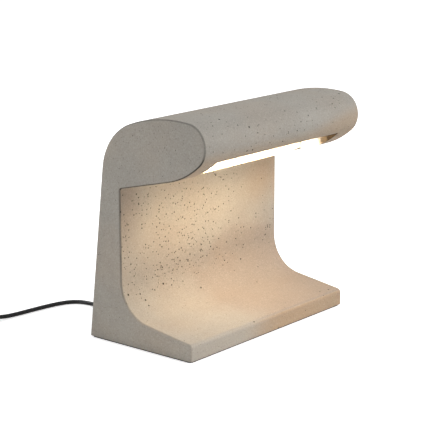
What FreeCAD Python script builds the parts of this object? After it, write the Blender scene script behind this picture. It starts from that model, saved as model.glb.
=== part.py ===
import FreeCAD, Part
import Sketcher
import math
import os

# Table lamp cast in one block of concrete.  The end view is a hook: a flat tongue to stand on, a
# back that leans forwards, and a rounded head with the light in a slot on its underside.
# Millimetres, +Z up.  X runs along the block, -Y is the open front, and the origin is on the table
# under the middle of the lamp.  The lamp's own pieces are drawn from the bottom front edge of the
# concrete (y = 0, z = 0 there) and placed by FRONT and the pad's thickness.

V = FreeCAD.Vector

# ---------------------------------------------------------------- driving dimensions

SIZES = {
    # concrete block, end view
    "lamp_length": 270, "base_depth": 145, "nose_overhang": 19.5, "block_height": 252,
    "back_tilt": 6.7, "wall_front": 97.5, "corner_height": 170.4, "underside_slope": 13.4,
    "shoulder_radius": 61, "crown_radius": 176, "crown_centre": 22.2, "nose_radius": 24.7,
    "chin_radius": 96, "corner_radius": 3, "foot_radius": 42, "lip_radius": 5,
    "tongue_height": 18.5, "tongue_slope": 8.5, "edge_rounding": 2.5, "bottom_rounding": 1,
    # slot and light chamber under the head
    "slot_length": 214, "slot_front": -14, "slot_front_height": 207.7, "chamber_front": 15,
    "chamber_front_height": 216.7, "chamber_back": 40, "chamber_top": 226, "slot_reach": 165,
    # cast-in conduit for the wires
    "conduit_at": 70, "conduit_height": 219, "conduit_radius": 4.5, "conduit_wall": 1,
    "conduit_first_turn": 72, "conduit_drop": 108, "conduit_elbow_height": 200,
    "first_elbow": 30, "second_elbow": 16,
    # pocket in the base
    "pocket_length": 190, "pocket_front": 68, "pocket_depth": 56, "pocket_height": 22,
    "plate_length": 222, "plate_depth": 78, "plate_recess": 2, "plate_thickness": 1.5,
    "plate_gap": 0.4, "insert_radius": 3, "insert_length": 9, "plate_screw_span": 206,
    "plate_screw_spread": 64, "screw_hole_radius": 2, "screw_radius": 1.95,
    "screw_head_radius": 3.4, "screw_head_height": 1.1, "pad_thickness": 1.2, "pad_inset": 1.6,
    "pad_corner": 4,
    # cord entry and its moulded strain relief
    "cord_at": -59, "cord_height": 13.8, "cord_radius": 2.4, "bore_radius": 5.2,
    "grip_length": 28, "grip_root_radius": 5.6, "grip_tip_radius": 3.4, "grip_flange": 1.6,
    "grip_standoff": 0.9, "grip_overhang": 1.6, "collar_overhang": 1.4, "bush_gap": 0.1,
    # light module
    "channel_front": 16, "channel_back": 39, "channel_length": 206, "channel_web": 2,
    "channel_wall": 1.6, "shade_edge": 202, "ledge_height": 209.6, "ledge_width": 1.6,
    "ledge_thickness": 1.6, "diffuser_thickness": 2, "board_width": 11, "board_length": 198,
    "board_thickness": 1.6, "board_front": 19, "chip_width": 3, "chip_length": 3,
    "chip_thickness": 0.7, "chip_count": 22, "chip_margin": 1, "board_screw_inset": 2.1,
    "module_screw_line": 33, "module_screw_pitch": 84,
    "insert_head_length": 10, "module_head_radius": 3, "module_head_height": 2.2,
    "small_screw_radius": 1, "small_hole_radius": 1.05, "small_head_radius": 1.7,
    "small_head_height": 1.2, "connector_length": 9, "connector_front": 30, "connector_depth": 5,
    "connector_height": 6.6, "reflector_thickness": 0.8, "reflector_low": 186.5,
    "reflector_gap": 0.2, "cap_thickness": 1.5,
    "grommet_radius": 3.4, "grommet_bore": 2.2, "grommet_flange": 4.4, "grommet_lip": 0.9,
    # wires
    "wire_radius": 0.9, "wire_offset": 1.15, "wire_gap": 0.1, "led_wire_start": 32.5,
    "led_wire_turn": 5, "driver_wire_height": 13, "cord_end": 99, "supply_line": 92,
    "supply_spread": 2, "supply_turn": 4,
    # driver in the base pocket
    "driver_left": -38, "driver_length": 90, "driver_front": 86, "driver_depth": 34,
    "driver_height": 16.6, "driver_wall": 1.5, "driver_lid": 1.4, "lug_length": 9,
    "lug_thickness": 1.6, "lug_offset": 8, "lug_hole": 1.6, "lug_screw": 1.5,
    "lug_head_radius": 2.7, "lug_head_height": 1.8, "driver_board_lift": 4,
    "driver_board_gap": 1, "post_radius": 1.5, "post_inset_x": 8, "post_inset_y": 7,
    "transformer_x": 36, "transformer_y": 9, "transformer_length": 18, "transformer_depth": 16,
    "transformer_height": 6.6, "capacitor_height": 6.4, "input_x": 18, "input_y": 22,
    "input_radius": 4, "output_x": 68, "output_y": 12, "output_radius": 3.6, "control_x": 26,
    "control_y": 11, "control_length": 6, "control_depth": 5, "control_height": 1.6,
    # cord clamp in the base pocket
    "clamp_width": 24, "clamp_depth": 9, "clamp_split": 13.8, "clamp_gap": 0.2,
    "clamp_top": 4.6, "clamp_at": 106, "clamp_screw_span": 15, "clamp_tap_depth": 8,
    # free cord and what is on it
    "switch_x": -203, "switch_y": 204, "switch_length": 62, "switch_width": 27,
    "switch_split": 9, "switch_height": 19, "switch_wall": 1.8, "switch_entry": 6.4,
    "switch_rounding": 3, "switch_rim": 1.4, "snout_length": 7, "snout_radius": 4.6,
    "snout_tip_radius": 3.4, "cord_bore_past": 4, "cord_end_past": 6, "boss_x": 19, "boss_y": 8,
    "boss_radius": 3, "boss_hole_radius": 1.3, "boss_hole_depth": 6, "switch_well_radius": 2.3,
    "switch_well_depth": 3, "switch_head_radius": 2.2, "switch_head_height": 1.8,
    "switch_screw_radius": 1.25, "switch_screw_length": 12.8, "terminal_x": 6.5,
    "terminal_length": 5, "terminal_width": 8, "terminal_height": 3.4, "window_length": 23,
    "window_width": 13, "rocker_gap": 0.5, "rocker_pivot": 15.6, "rocker_tilt": 8,
    "rocker_valley": 3.9, "rocker_depth": 3, "pin_radius": 1.25, "pin_hole": 1.3,
    "pin_length": 18.4, "pin_lug_length": 8, "pin_lug_width": 2.2, "pin_lug_drop": 3,
    "coil_x": -277, "coil_y": 242.5, "coil_outer": 38.5, "coil_band": 20.6, "coil_lift": 0.9,
    "coil_rounding": 2.3, "tie_thickness": 0.8, "tie_width": 12, "tie_gap": 0.1,
    "tie_slack": 1.4, "plug_x": -190, "plug_y": 264, "plug_height": 7, "plug_length": 34,
    "plug_thickness": 13.6, "plug_rounding": 2.4, "plug_face_x": 17, "plug_bend_x": 3,
    "plug_tail_x": -17, "plug_low": -17, "plug_high": 17, "plug_tail_low": -7,
    "plug_tail_high": 7, "plug_pin_radius": 2, "plug_pin_length": 19, "plug_pin_root": 1.5,
    "plug_pin_bite": 8, "plug_pin_pitch": 18.6, "relief_length": 22, "relief_root": 4.8,
    "relief_tip": 3.2,
    # how far a cutting tool runs past a face, and how far two joined pieces overlap
    "overcut": 1,
}

doc = FreeCAD.newDocument("TableLamp")
sheet = doc.addObject("Spreadsheet::Sheet", "dims")
for row, (word, size) in enumerate(SIZES.items(), start=1):
    sheet.set(f"A{row}", word)
    sheet.set(f"B{row}", str(size))
    sheet.setAlias(f"B{row}", word)
doc.recompute()

FRONT = "(dims.nose_overhang - dims.base_depth) / 2"
front = (SIZES["nose_overhang"] - SIZES["base_depth"]) / 2
nodes = {}
TOUCH = 0.01
SHARE_OF_RUN = 0.45
TURNS = {"z": (V(0, 0, 1), 0), "x": (V(0, 1, 0), 90), "y": (V(1, 0, 0), -90)}
POCKET_MIDDLE = "(dims.pocket_front + dims.pocket_depth / 2)"

# ---------------------------------------------------------------- building helpers


def size(word):
    return SIZES[word]


def bind(thing, **cells):
    for name, text in cells.items():
        thing.setExpression(name, text)
    return thing


def place(thing, x="0", y="0", z="0"):
    thing.setExpression("Placement.Base.x", x)
    thing.setExpression("Placement.Base.y", y)
    thing.setExpression("Placement.Base.z", z)
    return thing


def node(label, thing):
    thing.Label = label
    nodes[label] = thing
    return thing


def in_lamp(label, thing):
    """A finished piece drawn from the concrete's front edge goes to its place in the lamp."""
    place(thing, "0", FRONT, "dims.pad_thickness")
    return node(label, thing)


def block(name, x, y, z, length, width, height):
    box = doc.addObject("Part::Box", name)
    bind(box, Length=length, Width=width, Height=height)
    return place(box, x, y, z)


def rod(name, x, y, z, radius, length, along="z"):
    cylinder = doc.addObject("Part::Cylinder", name)
    cylinder.Placement = FreeCAD.Placement(V(0, 0, 0), FreeCAD.Rotation(*TURNS[along]))
    bind(cylinder, Radius=radius, Height=length)
    return place(cylinder, x, y, z)


def taper(name, x, y, z, first, last, length, along="z"):
    cone = doc.addObject("Part::Cone", name)
    cone.Placement = FreeCAD.Placement(V(0, 0, 0), FreeCAD.Rotation(*TURNS[along]))
    bind(cone, Radius1=first, Radius2=last, Height=length)
    return place(cone, x, y, z)


def join(name, pieces):
    fused = doc.addObject("Part::MultiFuse", name)
    fused.Shapes = pieces
    return fused


def cut(name, base, tools):
    tool = tools[0] if len(tools) == 1 else join(name + "_tools", tools)
    carved = doc.addObject("Part::Cut", name)
    carved.Base = base
    carved.Tool = tool
    return carved


def group(name, pieces):
    compound = doc.addObject("Part::Compound", name)
    compound.Links = pieces
    return compound


def solid(name, shape):
    feature = doc.addObject("Part::Feature", name)
    feature.Shape = shape
    return feature


def body(name):
    return doc.addObject("PartDesign::Body", name)


def sketch_on(owner, role, name, x="0", y="0", lift="0"):
    plane = next(f for f in owner.Origin.OriginFeatures if f.Role == role)
    sketch = owner.newObject("Sketcher::SketchObject", name)
    sketch.AttachmentSupport = [(plane, "")]
    sketch.MapMode = "FlatFace"
    sketch.setExpression("AttachmentOffset.Base.x", x)
    sketch.setExpression("AttachmentOffset.Base.y", y)
    sketch.setExpression("AttachmentOffset.Base.z", lift)
    return sketch


def sized(sketch, kind, places, name, text, start=2.0):
    """A constraint whose value follows the sheet; start is the value that the drawing begins with."""
    index = sketch.addConstraint(Sketcher.Constraint(kind, *places, start))
    sketch.renameConstraint(index, name)
    sketch.setExpression("Constraints." + name, text)


def rectangle(sketch, width, height):
    """A rectangle centred on the sketch's origin."""
    corners = [V(-1, -1, 0), V(1, -1, 0), V(1, 1, 0), V(-1, 1, 0)]
    sides = [Part.LineSegment(corners[i], corners[(i + 1) % 4]) for i in range(4)]
    sketch.addGeometry(sides, False)
    for i in range(4):
        sketch.addConstraint(Sketcher.Constraint("Coincident", i, 2, (i + 1) % 4, 1))
    for i, kind in enumerate(["Horizontal", "Vertical", "Horizontal", "Vertical"]):
        sketch.addConstraint(Sketcher.Constraint(kind, i))
    sketch.addConstraint(Sketcher.Constraint("Symmetric", 0, 1, 1, 2, -1, 1))
    sized(sketch, "DistanceX", (0, 1, 0, 2), "width", width)
    sized(sketch, "DistanceY", (1, 1, 1, 2), "height", height)
    return sketch


def circle(sketch, radius):
    sketch.addGeometry(Part.Circle(V(0, 0, 0), V(0, 0, 1), 2), False)
    sketch.addConstraint(Sketcher.Constraint("Coincident", 0, 3, -1, 1))
    sized(sketch, "Radius", (0,), "radius", radius)
    return sketch


def feature_on(owner, kind, sketch, length, midplane=False, backwards=False):
    """A pad or pocket from a sketch; a pocket that removes nothing is an error."""
    base = owner.Tip
    made = owner.newObject("PartDesign::" + kind, f"{sketch.Name}_{kind.lower()}")
    made.Profile = sketch
    made.SideType = "Symmetric" if midplane else "One side"
    made.Reversed = backwards
    made.setExpression("Length", length)
    doc.recompute()
    if kind == "Pocket" and made.Shape.Volume > base.Shape.Volume - 1:
        raise RuntimeError(f"{made.Name} cuts nothing")
    return made


def round_edges(owner, base, name, chosen, radius):
    """Fillet the edges of base for which chosen(edge) is true."""
    doc.recompute()
    edges = [f"Edge{i + 1}" for i, e in enumerate(base.Shape.Edges) if chosen(e)]
    fillet = owner.newObject("PartDesign::Fillet", name)
    fillet.Base = (base, edges)
    fillet.setExpression("Radius", radius)
    return fillet


def unit(v):
    return v * (1 / v.Length)


def meeting(point, along, centre, reach):
    """The places on the line point + t * along that are reach from centre, nearest first."""
    w = point - centre
    half = w.dot(along)
    root = math.sqrt(half * half - w.dot(w) + reach * reach)
    return [point + along * (-half - root), point + along * (-half + root)]


def rounded_corner(before, corner, after, radius):
    """Tangent points and centre of the arc that rounds a corner between two straight runs."""
    a, b = unit(before - corner), unit(after - corner)
    half = a.getAngle(b) / 2
    reach = radius / math.tan(half)
    middle = unit(a + b)
    return corner + a * reach, corner + middle * (radius / math.sin(half)), corner + b * reach


def route_wire(points, radii):
    """Straight runs joined by tangent arcs, one radius for each inner point."""
    edges = []
    start = points[0]
    for before, corner, after, radius in zip(points, points[1:], points[2:], radii):
        first, centre, last = rounded_corner(before, corner, after, radius)
        crest = centre + unit(corner - centre) * radius
        edges.append(Part.LineSegment(start, first).toShape())
        edges.append(Part.Arc(first, crest, last).toShape())
        start = last
    edges.append(Part.LineSegment(start, points[-1]).toShape())
    return Part.Wire(edges)


def tube_along(wire, start, heading, radius):
    """A round bar swept along a wire that starts at start."""
    ring = Part.Wire([Part.Circle(start, heading, radius).toShape()])
    return wire.makePipeShell([ring], True, True)


def free_radii(points):
    """Each arc of a free cord is as large as its two runs allow."""
    radii = []
    for before, corner, after in zip(points, points[1:], points[2:]):
        turn = (corner - before).getAngle(after - corner)
        shorter = min((corner - before).Length, (after - corner).Length)
        radii.append(SHARE_OF_RUN * shorter / math.tan(turn / 2))
    return radii


def cord_tube(label, points):
    """A free stretch of cord, with its bend radii and volume reported and compared."""
    radii = free_radii(points)
    wire = route_wire(points, radii)
    shape = tube_along(wire, points[0], points[1] - points[0], size("cord_radius"))
    expected = math.pi * size("cord_radius") ** 2 * wire.Length
    print(label, "length", round(wire.Length, 1), "volume ratio", round(shape.Volume / expected, 5),
          "radii", [round(r) for r in radii])
    return node(label, solid(label, shape))


# ---------------------------------------------------------------- concrete block

def outline_points():
    """Tangent points and arc centres of the end view, from the driving sizes."""
    tilt = math.radians(size("back_tilt"))
    slope = math.radians(size("underside_slope"))
    rise = math.radians(size("tongue_slope"))
    back_foot = V(size("base_depth"), 0, 0)
    up_back = V(-math.sin(tilt), math.cos(tilt), 0)
    inward = V(-math.cos(tilt), -math.sin(tilt), 0)
    crown = V(size("crown_centre"), size("block_height") - size("crown_radius"), 0)
    inside = size("crown_radius") - size("shoulder_radius")
    shoulder = meeting(back_foot + inward * size("shoulder_radius"), up_back, crown, inside)[1]
    nose_reach = size("crown_radius") - size("nose_radius")
    nose_y = size("nose_radius") - size("nose_overhang")
    nose = V(nose_y, crown.y + math.sqrt(nose_reach ** 2 - (nose_y - crown.x) ** 2), 0)
    corner = V(size("wall_front"), size("corner_height"), 0)
    forward = V(-math.cos(slope), math.sin(slope), 0)
    above = V(math.sin(slope), math.cos(slope), 0)
    chin_reach = size("chin_radius") - size("nose_radius")
    chin = meeting(corner + above * size("chin_radius"), forward, nose, chin_reach)[0]
    foot = V(corner.x, size("tongue_height") + corner.x * math.tan(rise), 0)
    lip = V(0, size("tongue_height"), 0)
    return {
        "back_foot": back_foot, "back_top": shoulder - inward * size("shoulder_radius"),
        "shoulder": shoulder, "crown": crown, "nose": nose, "chin": chin,
        "crown_start": crown + unit(shoulder - crown) * size("crown_radius"),
        "nose_start": crown + unit(nose - crown) * size("crown_radius"),
        "chin_start": chin + unit(nose - chin) * size("chin_radius"),
        "under_start": chin - above * size("chin_radius"),
        "corner": corner, "foot": foot, "lip": lip,
    }


def arc_between(centre, start, end):
    """The anticlockwise arc from start to end about centre."""
    first = math.atan2(start.y - centre.y, start.x - centre.x)
    last = math.atan2(end.y - centre.y, end.x - centre.x)
    ring = Part.Circle(centre, V(0, 0, 1), (start - centre).Length)
    return Part.ArcOfCircle(ring, first, last)


def draw_outline(sketch):
    """The hook-shaped end view: lines and arcs, each tangent to the next except at the bottom."""
    p = outline_points()
    zero = V(0, 0, 0)
    in_a, in_c, in_b = rounded_corner(p["under_start"], p["corner"], p["foot"], size("corner_radius"))
    ft_a, ft_c, ft_b = rounded_corner(p["corner"], p["foot"], p["lip"], size("foot_radius"))
    lp_a, lp_c, lp_b = rounded_corner(p["foot"], p["lip"], zero, size("lip_radius"))
    line, arc = Part.LineSegment, arc_between
    # each entry: the curve, which of its ends comes first, and whether it runs on smoothly
    curves = [
        (line(zero, p["back_foot"]), 1, False),
        (line(p["back_foot"], p["back_top"]), 1, True),
        (arc(p["shoulder"], p["back_top"], p["crown_start"]), 1, True),
        (arc(p["crown"], p["crown_start"], p["nose_start"]), 1, True),
        (arc(p["nose"], p["nose_start"], p["chin_start"]), 1, True),
        (arc(p["chin"], p["chin_start"], p["under_start"]), 1, True),
        (line(in_a, p["under_start"]), 2, True),
        (arc(in_c, in_b, in_a), 2, True),
        (line(in_b, ft_a), 1, True),
        (arc(ft_c, ft_b, ft_a), 2, True),
        (line(lp_a, ft_b), 2, True),
        (arc(lp_c, lp_a, lp_b), 1, True),
        (line(lp_b, zero), 1, False),
    ]
    sketch.addGeometry([c[0] for c in curves], False)
    back, shoulder, crown, nose, chin, under, inner, wall, foot, tongue, lip, face = range(1, 13)
    for i, (_, begins, smooth) in enumerate(curves):
        j = (i + 1) % len(curves)
        kind = "Tangent" if smooth else "Coincident"
        sketch.addConstraint(Sketcher.Constraint(kind, i, 3 - begins, j, curves[j][1]))
    sketch.addConstraint(Sketcher.Constraint("Coincident", 0, 1, -1, 1))
    sketch.addConstraint(Sketcher.Constraint("Horizontal", 0))
    sketch.addConstraint(Sketcher.Constraint("Vertical", wall))
    sketch.addConstraint(Sketcher.Constraint("Vertical", face))
    sized(sketch, "DistanceX", (0, 1, 0, 2), "depth", "dims.base_depth", size("base_depth"))
    sized(sketch, "DistanceX", (-1, 1, wall, 1), "wall", "dims.wall_front", size("wall_front"))
    sized(sketch, "DistanceX", (-1, 1, crown, 3), "crown_y", "dims.crown_centre", p["crown"].x)
    sized(sketch, "DistanceY", (-1, 1, crown, 3), "crown_z",
          "dims.block_height - dims.crown_radius", p["crown"].y)
    sized(sketch, "DistanceX", (-1, 1, nose, 3), "nose_y",
          "dims.nose_radius - dims.nose_overhang", p["nose"].x)
    sized(sketch, "DistanceY", (-1, 1, wall, 1), "corner_z", "dims.corner_height"
          " - dims.corner_radius / tan((90 + dims.underside_slope) * 0.5 deg)", in_b.y)
    sized(sketch, "DistanceY", (face, 2, face, 1), "face_height", "dims.tongue_height"
          " - dims.lip_radius / tan((90 + dims.tongue_slope) * 0.5 deg)", lp_b.y)
    radii = {shoulder: "shoulder_radius", crown: "crown_radius", nose: "nose_radius",
             chin: "chin_radius", inner: "corner_radius", foot: "foot_radius", lip: "lip_radius"}
    for index, word in radii.items():
        sized(sketch, "Radius", (index,), word, "dims." + word, size(word))
    sized(sketch, "Angle", (back,), "tilt", "(90 + dims.back_tilt) * 1 deg",
          math.radians(90 + size("back_tilt")))
    sized(sketch, "Angle", (under,), "slope", "(180 - dims.underside_slope) * 1 deg",
          math.radians(180 - size("underside_slope")))
    sized(sketch, "Angle", (tongue,), "rise", "dims.tongue_slope * 1 deg",
          math.radians(size("tongue_slope")))


concrete = body("concrete_body")
end_view = sketch_on(concrete, "YZ_Plane", "end_view")
draw_outline(end_view)
casting = feature_on(concrete, "Pad", end_view, "dims.lamp_length", midplane=True)


def on_end_outline(edge):
    at_end = abs(abs(edge.CenterOfMass.x) - size("lamp_length") / 2) < TOUCH
    return at_end and edge.BoundBox.ZMax > TOUCH


def on_bottom(edge):
    return edge.BoundBox.ZMax < TOUCH


rounded = round_edges(concrete, casting, "end_rounding", on_end_outline, "dims.edge_rounding")
round_edges(concrete, rounded, "foot_rounding", on_bottom, "dims.bottom_rounding")

chamber_sketch = sketch_on(concrete, "YZ_Plane", "light_chamber")
chamber_corners = [
    ("slot_front", "slot_reach"), ("chamber_back", "slot_reach"), ("chamber_back", "chamber_top"),
    ("chamber_front", "chamber_top"), ("chamber_front", "chamber_front_height"),
    ("slot_front", "slot_front_height"),
]


def polygon(sketch, corners):
    """A closed outline through corners named by their two sheet words."""
    points = [V(size(y), size(z), 0) for y, z in corners]
    count = len(points)
    sides = [Part.LineSegment(points[i], points[(i + 1) % count]) for i in range(count)]
    sketch.addGeometry(sides, False)
    for i in range(count):
        sketch.addConstraint(Sketcher.Constraint("Coincident", i, 2, (i + 1) % count, 1))
    for i, (y, z) in enumerate(corners):
        sized(sketch, "DistanceX", (-1, 1, i, 1), f"across_{i}", "dims." + y, points[i].x)
        sized(sketch, "DistanceY", (-1, 1, i, 1), f"up_{i}", "dims." + z, points[i].y)
    return sketch


polygon(chamber_sketch, chamber_corners)
feature_on(concrete, "Pocket", chamber_sketch, "dims.slot_length", midplane=True)

recess = rectangle(sketch_on(concrete, "XY_Plane", "plate_recess", y=POCKET_MIDDLE),
                   "dims.plate_length", "dims.plate_depth")
feature_on(concrete, "Pocket", recess, "dims.plate_recess", backwards=True)
well = rectangle(sketch_on(concrete, "XY_Plane", "driver_well", y=POCKET_MIDDLE),
                 "dims.pocket_length", "dims.pocket_depth")
feature_on(concrete, "Pocket", well, "dims.pocket_height", backwards=True)

entry = circle(sketch_on(concrete, "XZ_Plane", "cord_bore", x="dims.cord_at",
                         y="dims.cord_height", lift="-dims.base_depth"), "dims.bore_radius")
feature_on(concrete, "Pocket", entry,
           "dims.base_depth - dims.pocket_front - dims.pocket_depth / 2", backwards=True)

INSERT_CORNERS = [(sx, sy) for sx in (-1, 1) for sy in (-1, 1)]
for i, (sx, sy) in enumerate(INSERT_CORNERS):
    seat = circle(sketch_on(concrete, "XY_Plane", f"insert_seat_{i}",
                            x=f"{sx} * dims.plate_screw_span / 2",
                            y=f"{POCKET_MIDDLE} + {sy} * dims.plate_screw_spread / 2",
                            lift="dims.plate_recess"), "dims.insert_radius")
    feature_on(concrete, "Pocket", seat, "dims.insert_length", backwards=True)
for i in (-1, 0, 1):
    seat = circle(sketch_on(concrete, "XY_Plane", f"module_seat_{i + 1}",
                            x=f"{i} * dims.module_screw_pitch", y="dims.module_screw_line",
                            lift="dims.chamber_top"), "dims.insert_radius")
    feature_on(concrete, "Pocket", seat, "dims.insert_head_length", backwards=True)


def conduit_route(start_y, end_z):
    """The wires' way from the light chamber down to the base pocket, in the plane of the conduit."""
    at = size("conduit_at")
    return [
        V(at, start_y, size("conduit_height")),
        V(at, size("conduit_first_turn"), size("conduit_height")),
        V(at, size("conduit_drop"), size("conduit_elbow_height")),
        V(at, size("conduit_drop"), end_z),
    ]


ELBOWS = (size("first_elbow"), size("second_elbow"))
bore_points = conduit_route(size("chamber_back") - size("overcut"),
                            size("pocket_height") - size("overcut"))
bore_shape = tube_along(route_wire(bore_points, ELBOWS), bore_points[0], V(0, 1, 0),
                        size("conduit_radius"))
doc.recompute()
lamp_block = cut("lamp_block", concrete, [solid("conduit_bore", bore_shape)])
in_lamp("concrete_body", lamp_block)

lining_points = conduit_route(size("chamber_back"), size("pocket_height"))
lining = route_wire(lining_points, ELBOWS)
outer = tube_along(lining, lining_points[0], V(0, 1, 0), size("conduit_radius"))
inner = tube_along(lining, lining_points[0], V(0, 1, 0), size("conduit_radius") - size("conduit_wall"))
in_lamp("wire_conduit", solid("wire_conduit", outer.cut(inner)))

# ---------------------------------------------------------------- light module

CHANNEL_END = "dims.channel_length / 2"
WEB_UNDER = "dims.chamber_top - dims.channel_web"

web = block("channel_web", "-" + CHANNEL_END, "dims.channel_front", WEB_UNDER,
            "dims.channel_length", "dims.channel_back - dims.channel_front", "dims.channel_web")
shade_flange = block("shade_flange", "-" + CHANNEL_END, "dims.channel_front", "dims.shade_edge",
                     "dims.channel_length", "dims.channel_wall",
                     "dims.chamber_top - dims.shade_edge")
rear_flange = block("rear_flange", "-" + CHANNEL_END, "dims.channel_back - dims.channel_wall",
                    "dims.ledge_height", "dims.channel_length", "dims.channel_wall",
                    "dims.chamber_top - dims.ledge_height")
front_ledge = block("front_ledge", "-" + CHANNEL_END, "dims.channel_front + dims.channel_wall",
                    "dims.ledge_height", "dims.channel_length", "dims.ledge_width",
                    "dims.ledge_thickness")
rear_ledge = block("rear_ledge", "-" + CHANNEL_END,
                   "dims.channel_back - dims.channel_wall - dims.ledge_width",
                   "dims.ledge_height", "dims.channel_length", "dims.ledge_width",
                   "dims.ledge_thickness")
SCREW_ROW = [f"{i} * dims.module_screw_pitch" for i in (-1, 0, 1)]
BOARD_ROW = [f"{k} * dims.board_length / 8" for k in (-3, -1, 1, 3)]
BOARD_LINE = "dims.board_front + dims.board_screw_inset"
CHIP_LINE = "dims.board_front + dims.board_width - dims.chip_width - dims.chip_margin"
module_holes = [rod(f"module_hole_{i}", x, "dims.module_screw_line", WEB_UNDER,
                    "dims.screw_hole_radius", "dims.channel_web")
                for i, x in enumerate(SCREW_ROW)]
web_holes = [rod(f"web_hole_{i}", x, BOARD_LINE, WEB_UNDER, "dims.small_hole_radius",
                 "dims.channel_web") for i, x in enumerate(BOARD_ROW)]
grommet_hole = rod("grommet_hole", "dims.conduit_at", "dims.channel_back - dims.channel_wall",
                   "dims.conduit_height", "dims.grommet_radius", "dims.channel_wall", "y")
extrusion = join("extrusion", [web, shade_flange, rear_flange, front_ledge, rear_ledge])
in_lamp("light_channel", cut("light_channel", extrusion, module_holes + web_holes + [grommet_hole]))

in_lamp("channel_inserts", group("channel_inserts", [
    cut(f"channel_insert_{i}",
        rod(f"channel_insert_body_{i}", x, "dims.module_screw_line", "dims.chamber_top",
            "dims.insert_radius", "dims.insert_head_length"),
        [rod(f"channel_insert_thread_{i}", x, "dims.module_screw_line", "dims.chamber_top",
             "dims.screw_hole_radius", "dims.insert_head_length")])
    for i, x in enumerate(SCREW_ROW)]))


def screw(name, x, y, seat, shank_radius, shank_length, head_radius, head_height):
    """A screw pointing up, its head just under the height called seat."""
    return join(name, [
        rod(name + "_shank", x, y, seat, shank_radius, shank_length),
        rod(name + "_head", x, y, f"{seat} - {head_height}", head_radius, head_height),
    ])


in_lamp("channel_screws", group("channel_screws", [
    screw(f"channel_screw_{i}", x, "dims.module_screw_line", WEB_UNDER, "dims.screw_radius",
          "dims.insert_head_length", "dims.module_head_radius", "dims.module_head_height")
    for i, x in enumerate(SCREW_ROW)]))

BOARD_UNDER = f"{WEB_UNDER} - dims.board_thickness"
board = block("board_blank", "-dims.board_length / 2", "dims.board_front", BOARD_UNDER,
              "dims.board_length", "dims.board_width", "dims.board_thickness")
in_lamp("led_board", cut("led_board", board, [
    rod(f"board_hole_{i}", x, BOARD_LINE, BOARD_UNDER, "dims.small_hole_radius",
        "dims.board_thickness") for i, x in enumerate(BOARD_ROW)]))
in_lamp("board_screws", group("board_screws", [
    screw(f"board_screw_{i}", x, BOARD_LINE, BOARD_UNDER, "dims.small_screw_radius",
          "dims.board_thickness + dims.channel_web", "dims.small_head_radius",
          "dims.small_head_height") for i, x in enumerate(BOARD_ROW)]))
in_lamp("led_chips", group("led_chips", [
    block(f"led_chip_{i}",
          f"dims.board_length * ({i} + 0.5 - dims.chip_count / 2) / dims.chip_count"
          " - dims.chip_length / 2", CHIP_LINE, f"{BOARD_UNDER} - dims.chip_thickness",
          "dims.chip_length", "dims.chip_width", "dims.chip_thickness")
    for i in range(size("chip_count"))]))

diffuser = body("diffuser")
diffuser_plan = rectangle(sketch_on(
    diffuser, "XY_Plane", "diffuser_plan", y="(dims.channel_front + dims.channel_back) / 2",
    lift="dims.ledge_height + dims.ledge_thickness"), "dims.channel_length",
    "dims.channel_back - dims.channel_front - 2 * dims.channel_wall")
feature_on(diffuser, "Pad", diffuser_plan, "dims.diffuser_thickness")
in_lamp("diffuser", diffuser)

for side, sign in (("left", -1), ("right", 1)):
    cap = body(f"end_cap_{side}")
    plan = rectangle(sketch_on(
        cap, "YZ_Plane", f"cap_plan_{side}", x="(dims.channel_front + dims.channel_back) / 2",
        y="(dims.ledge_height + dims.chamber_top) / 2", lift=f"{sign} * {CHANNEL_END}"),
        "dims.channel_back - dims.channel_front", "dims.chamber_top - dims.ledge_height")
    feature_on(cap, "Pad", plan, "dims.cap_thickness", backwards=sign < 0)
    in_lamp(f"diffuser_end_cap_{side}", cap)

connector_block = block("connector_block", "dims.conduit_at - dims.connector_length / 2",
                        "dims.connector_front", f"{WEB_UNDER} - dims.connector_height",
                        "dims.connector_length", "dims.connector_depth", "dims.connector_height")
wire_ways = [rod(f"connector_way_{i}", f"dims.conduit_at + {side} * dims.wire_offset",
                 "dims.led_wire_start", "dims.conduit_height", "dims.wire_radius",
                 "dims.connector_depth", "y") for i, side in enumerate((-1, 1))]
in_lamp("board_connector", cut("board_connector", connector_block, wire_ways))

sheet_back = block("reflector_blank", "-dims.channel_length / 2",
                   "dims.chamber_back - dims.reflector_thickness", "dims.reflector_low",
                   "dims.channel_length", "dims.reflector_thickness",
                   "dims.chamber_top - dims.reflector_low")
wire_window = rod("reflector_window", "dims.conduit_at",
                  "dims.chamber_back - dims.reflector_thickness", "dims.conduit_height",
                  "dims.grommet_flange + dims.reflector_gap", "dims.reflector_thickness", "y")
in_lamp("rear_reflector", cut("rear_reflector", sheet_back, [wire_window]))

grommet_neck = rod("grommet_neck", "dims.conduit_at", "dims.channel_back - dims.channel_wall",
                   "dims.conduit_height", "dims.grommet_radius", "dims.channel_wall", "y")
grommet_inner = rod("grommet_inner", "dims.conduit_at",
                    "dims.channel_back - dims.channel_wall - dims.grommet_lip",
                    "dims.conduit_height", "dims.grommet_flange", "dims.grommet_lip", "y")
grommet_outer = rod("grommet_outer", "dims.conduit_at", "dims.channel_back", "dims.conduit_height",
                    "dims.grommet_flange", "dims.grommet_lip", "y")
grommet_way = rod("grommet_way", "dims.conduit_at",
                  "dims.channel_back - dims.channel_wall - dims.grommet_lip",
                  "dims.conduit_height", "dims.grommet_bore",
                  "dims.channel_wall + 2 * dims.grommet_lip", "y")
in_lamp("wire_grommet", cut("wire_grommet", join("grommet_body", [
    grommet_neck, grommet_inner, grommet_outer]), [grommet_way]))

# ---------------------------------------------------------------- wires inside the lamp

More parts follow.
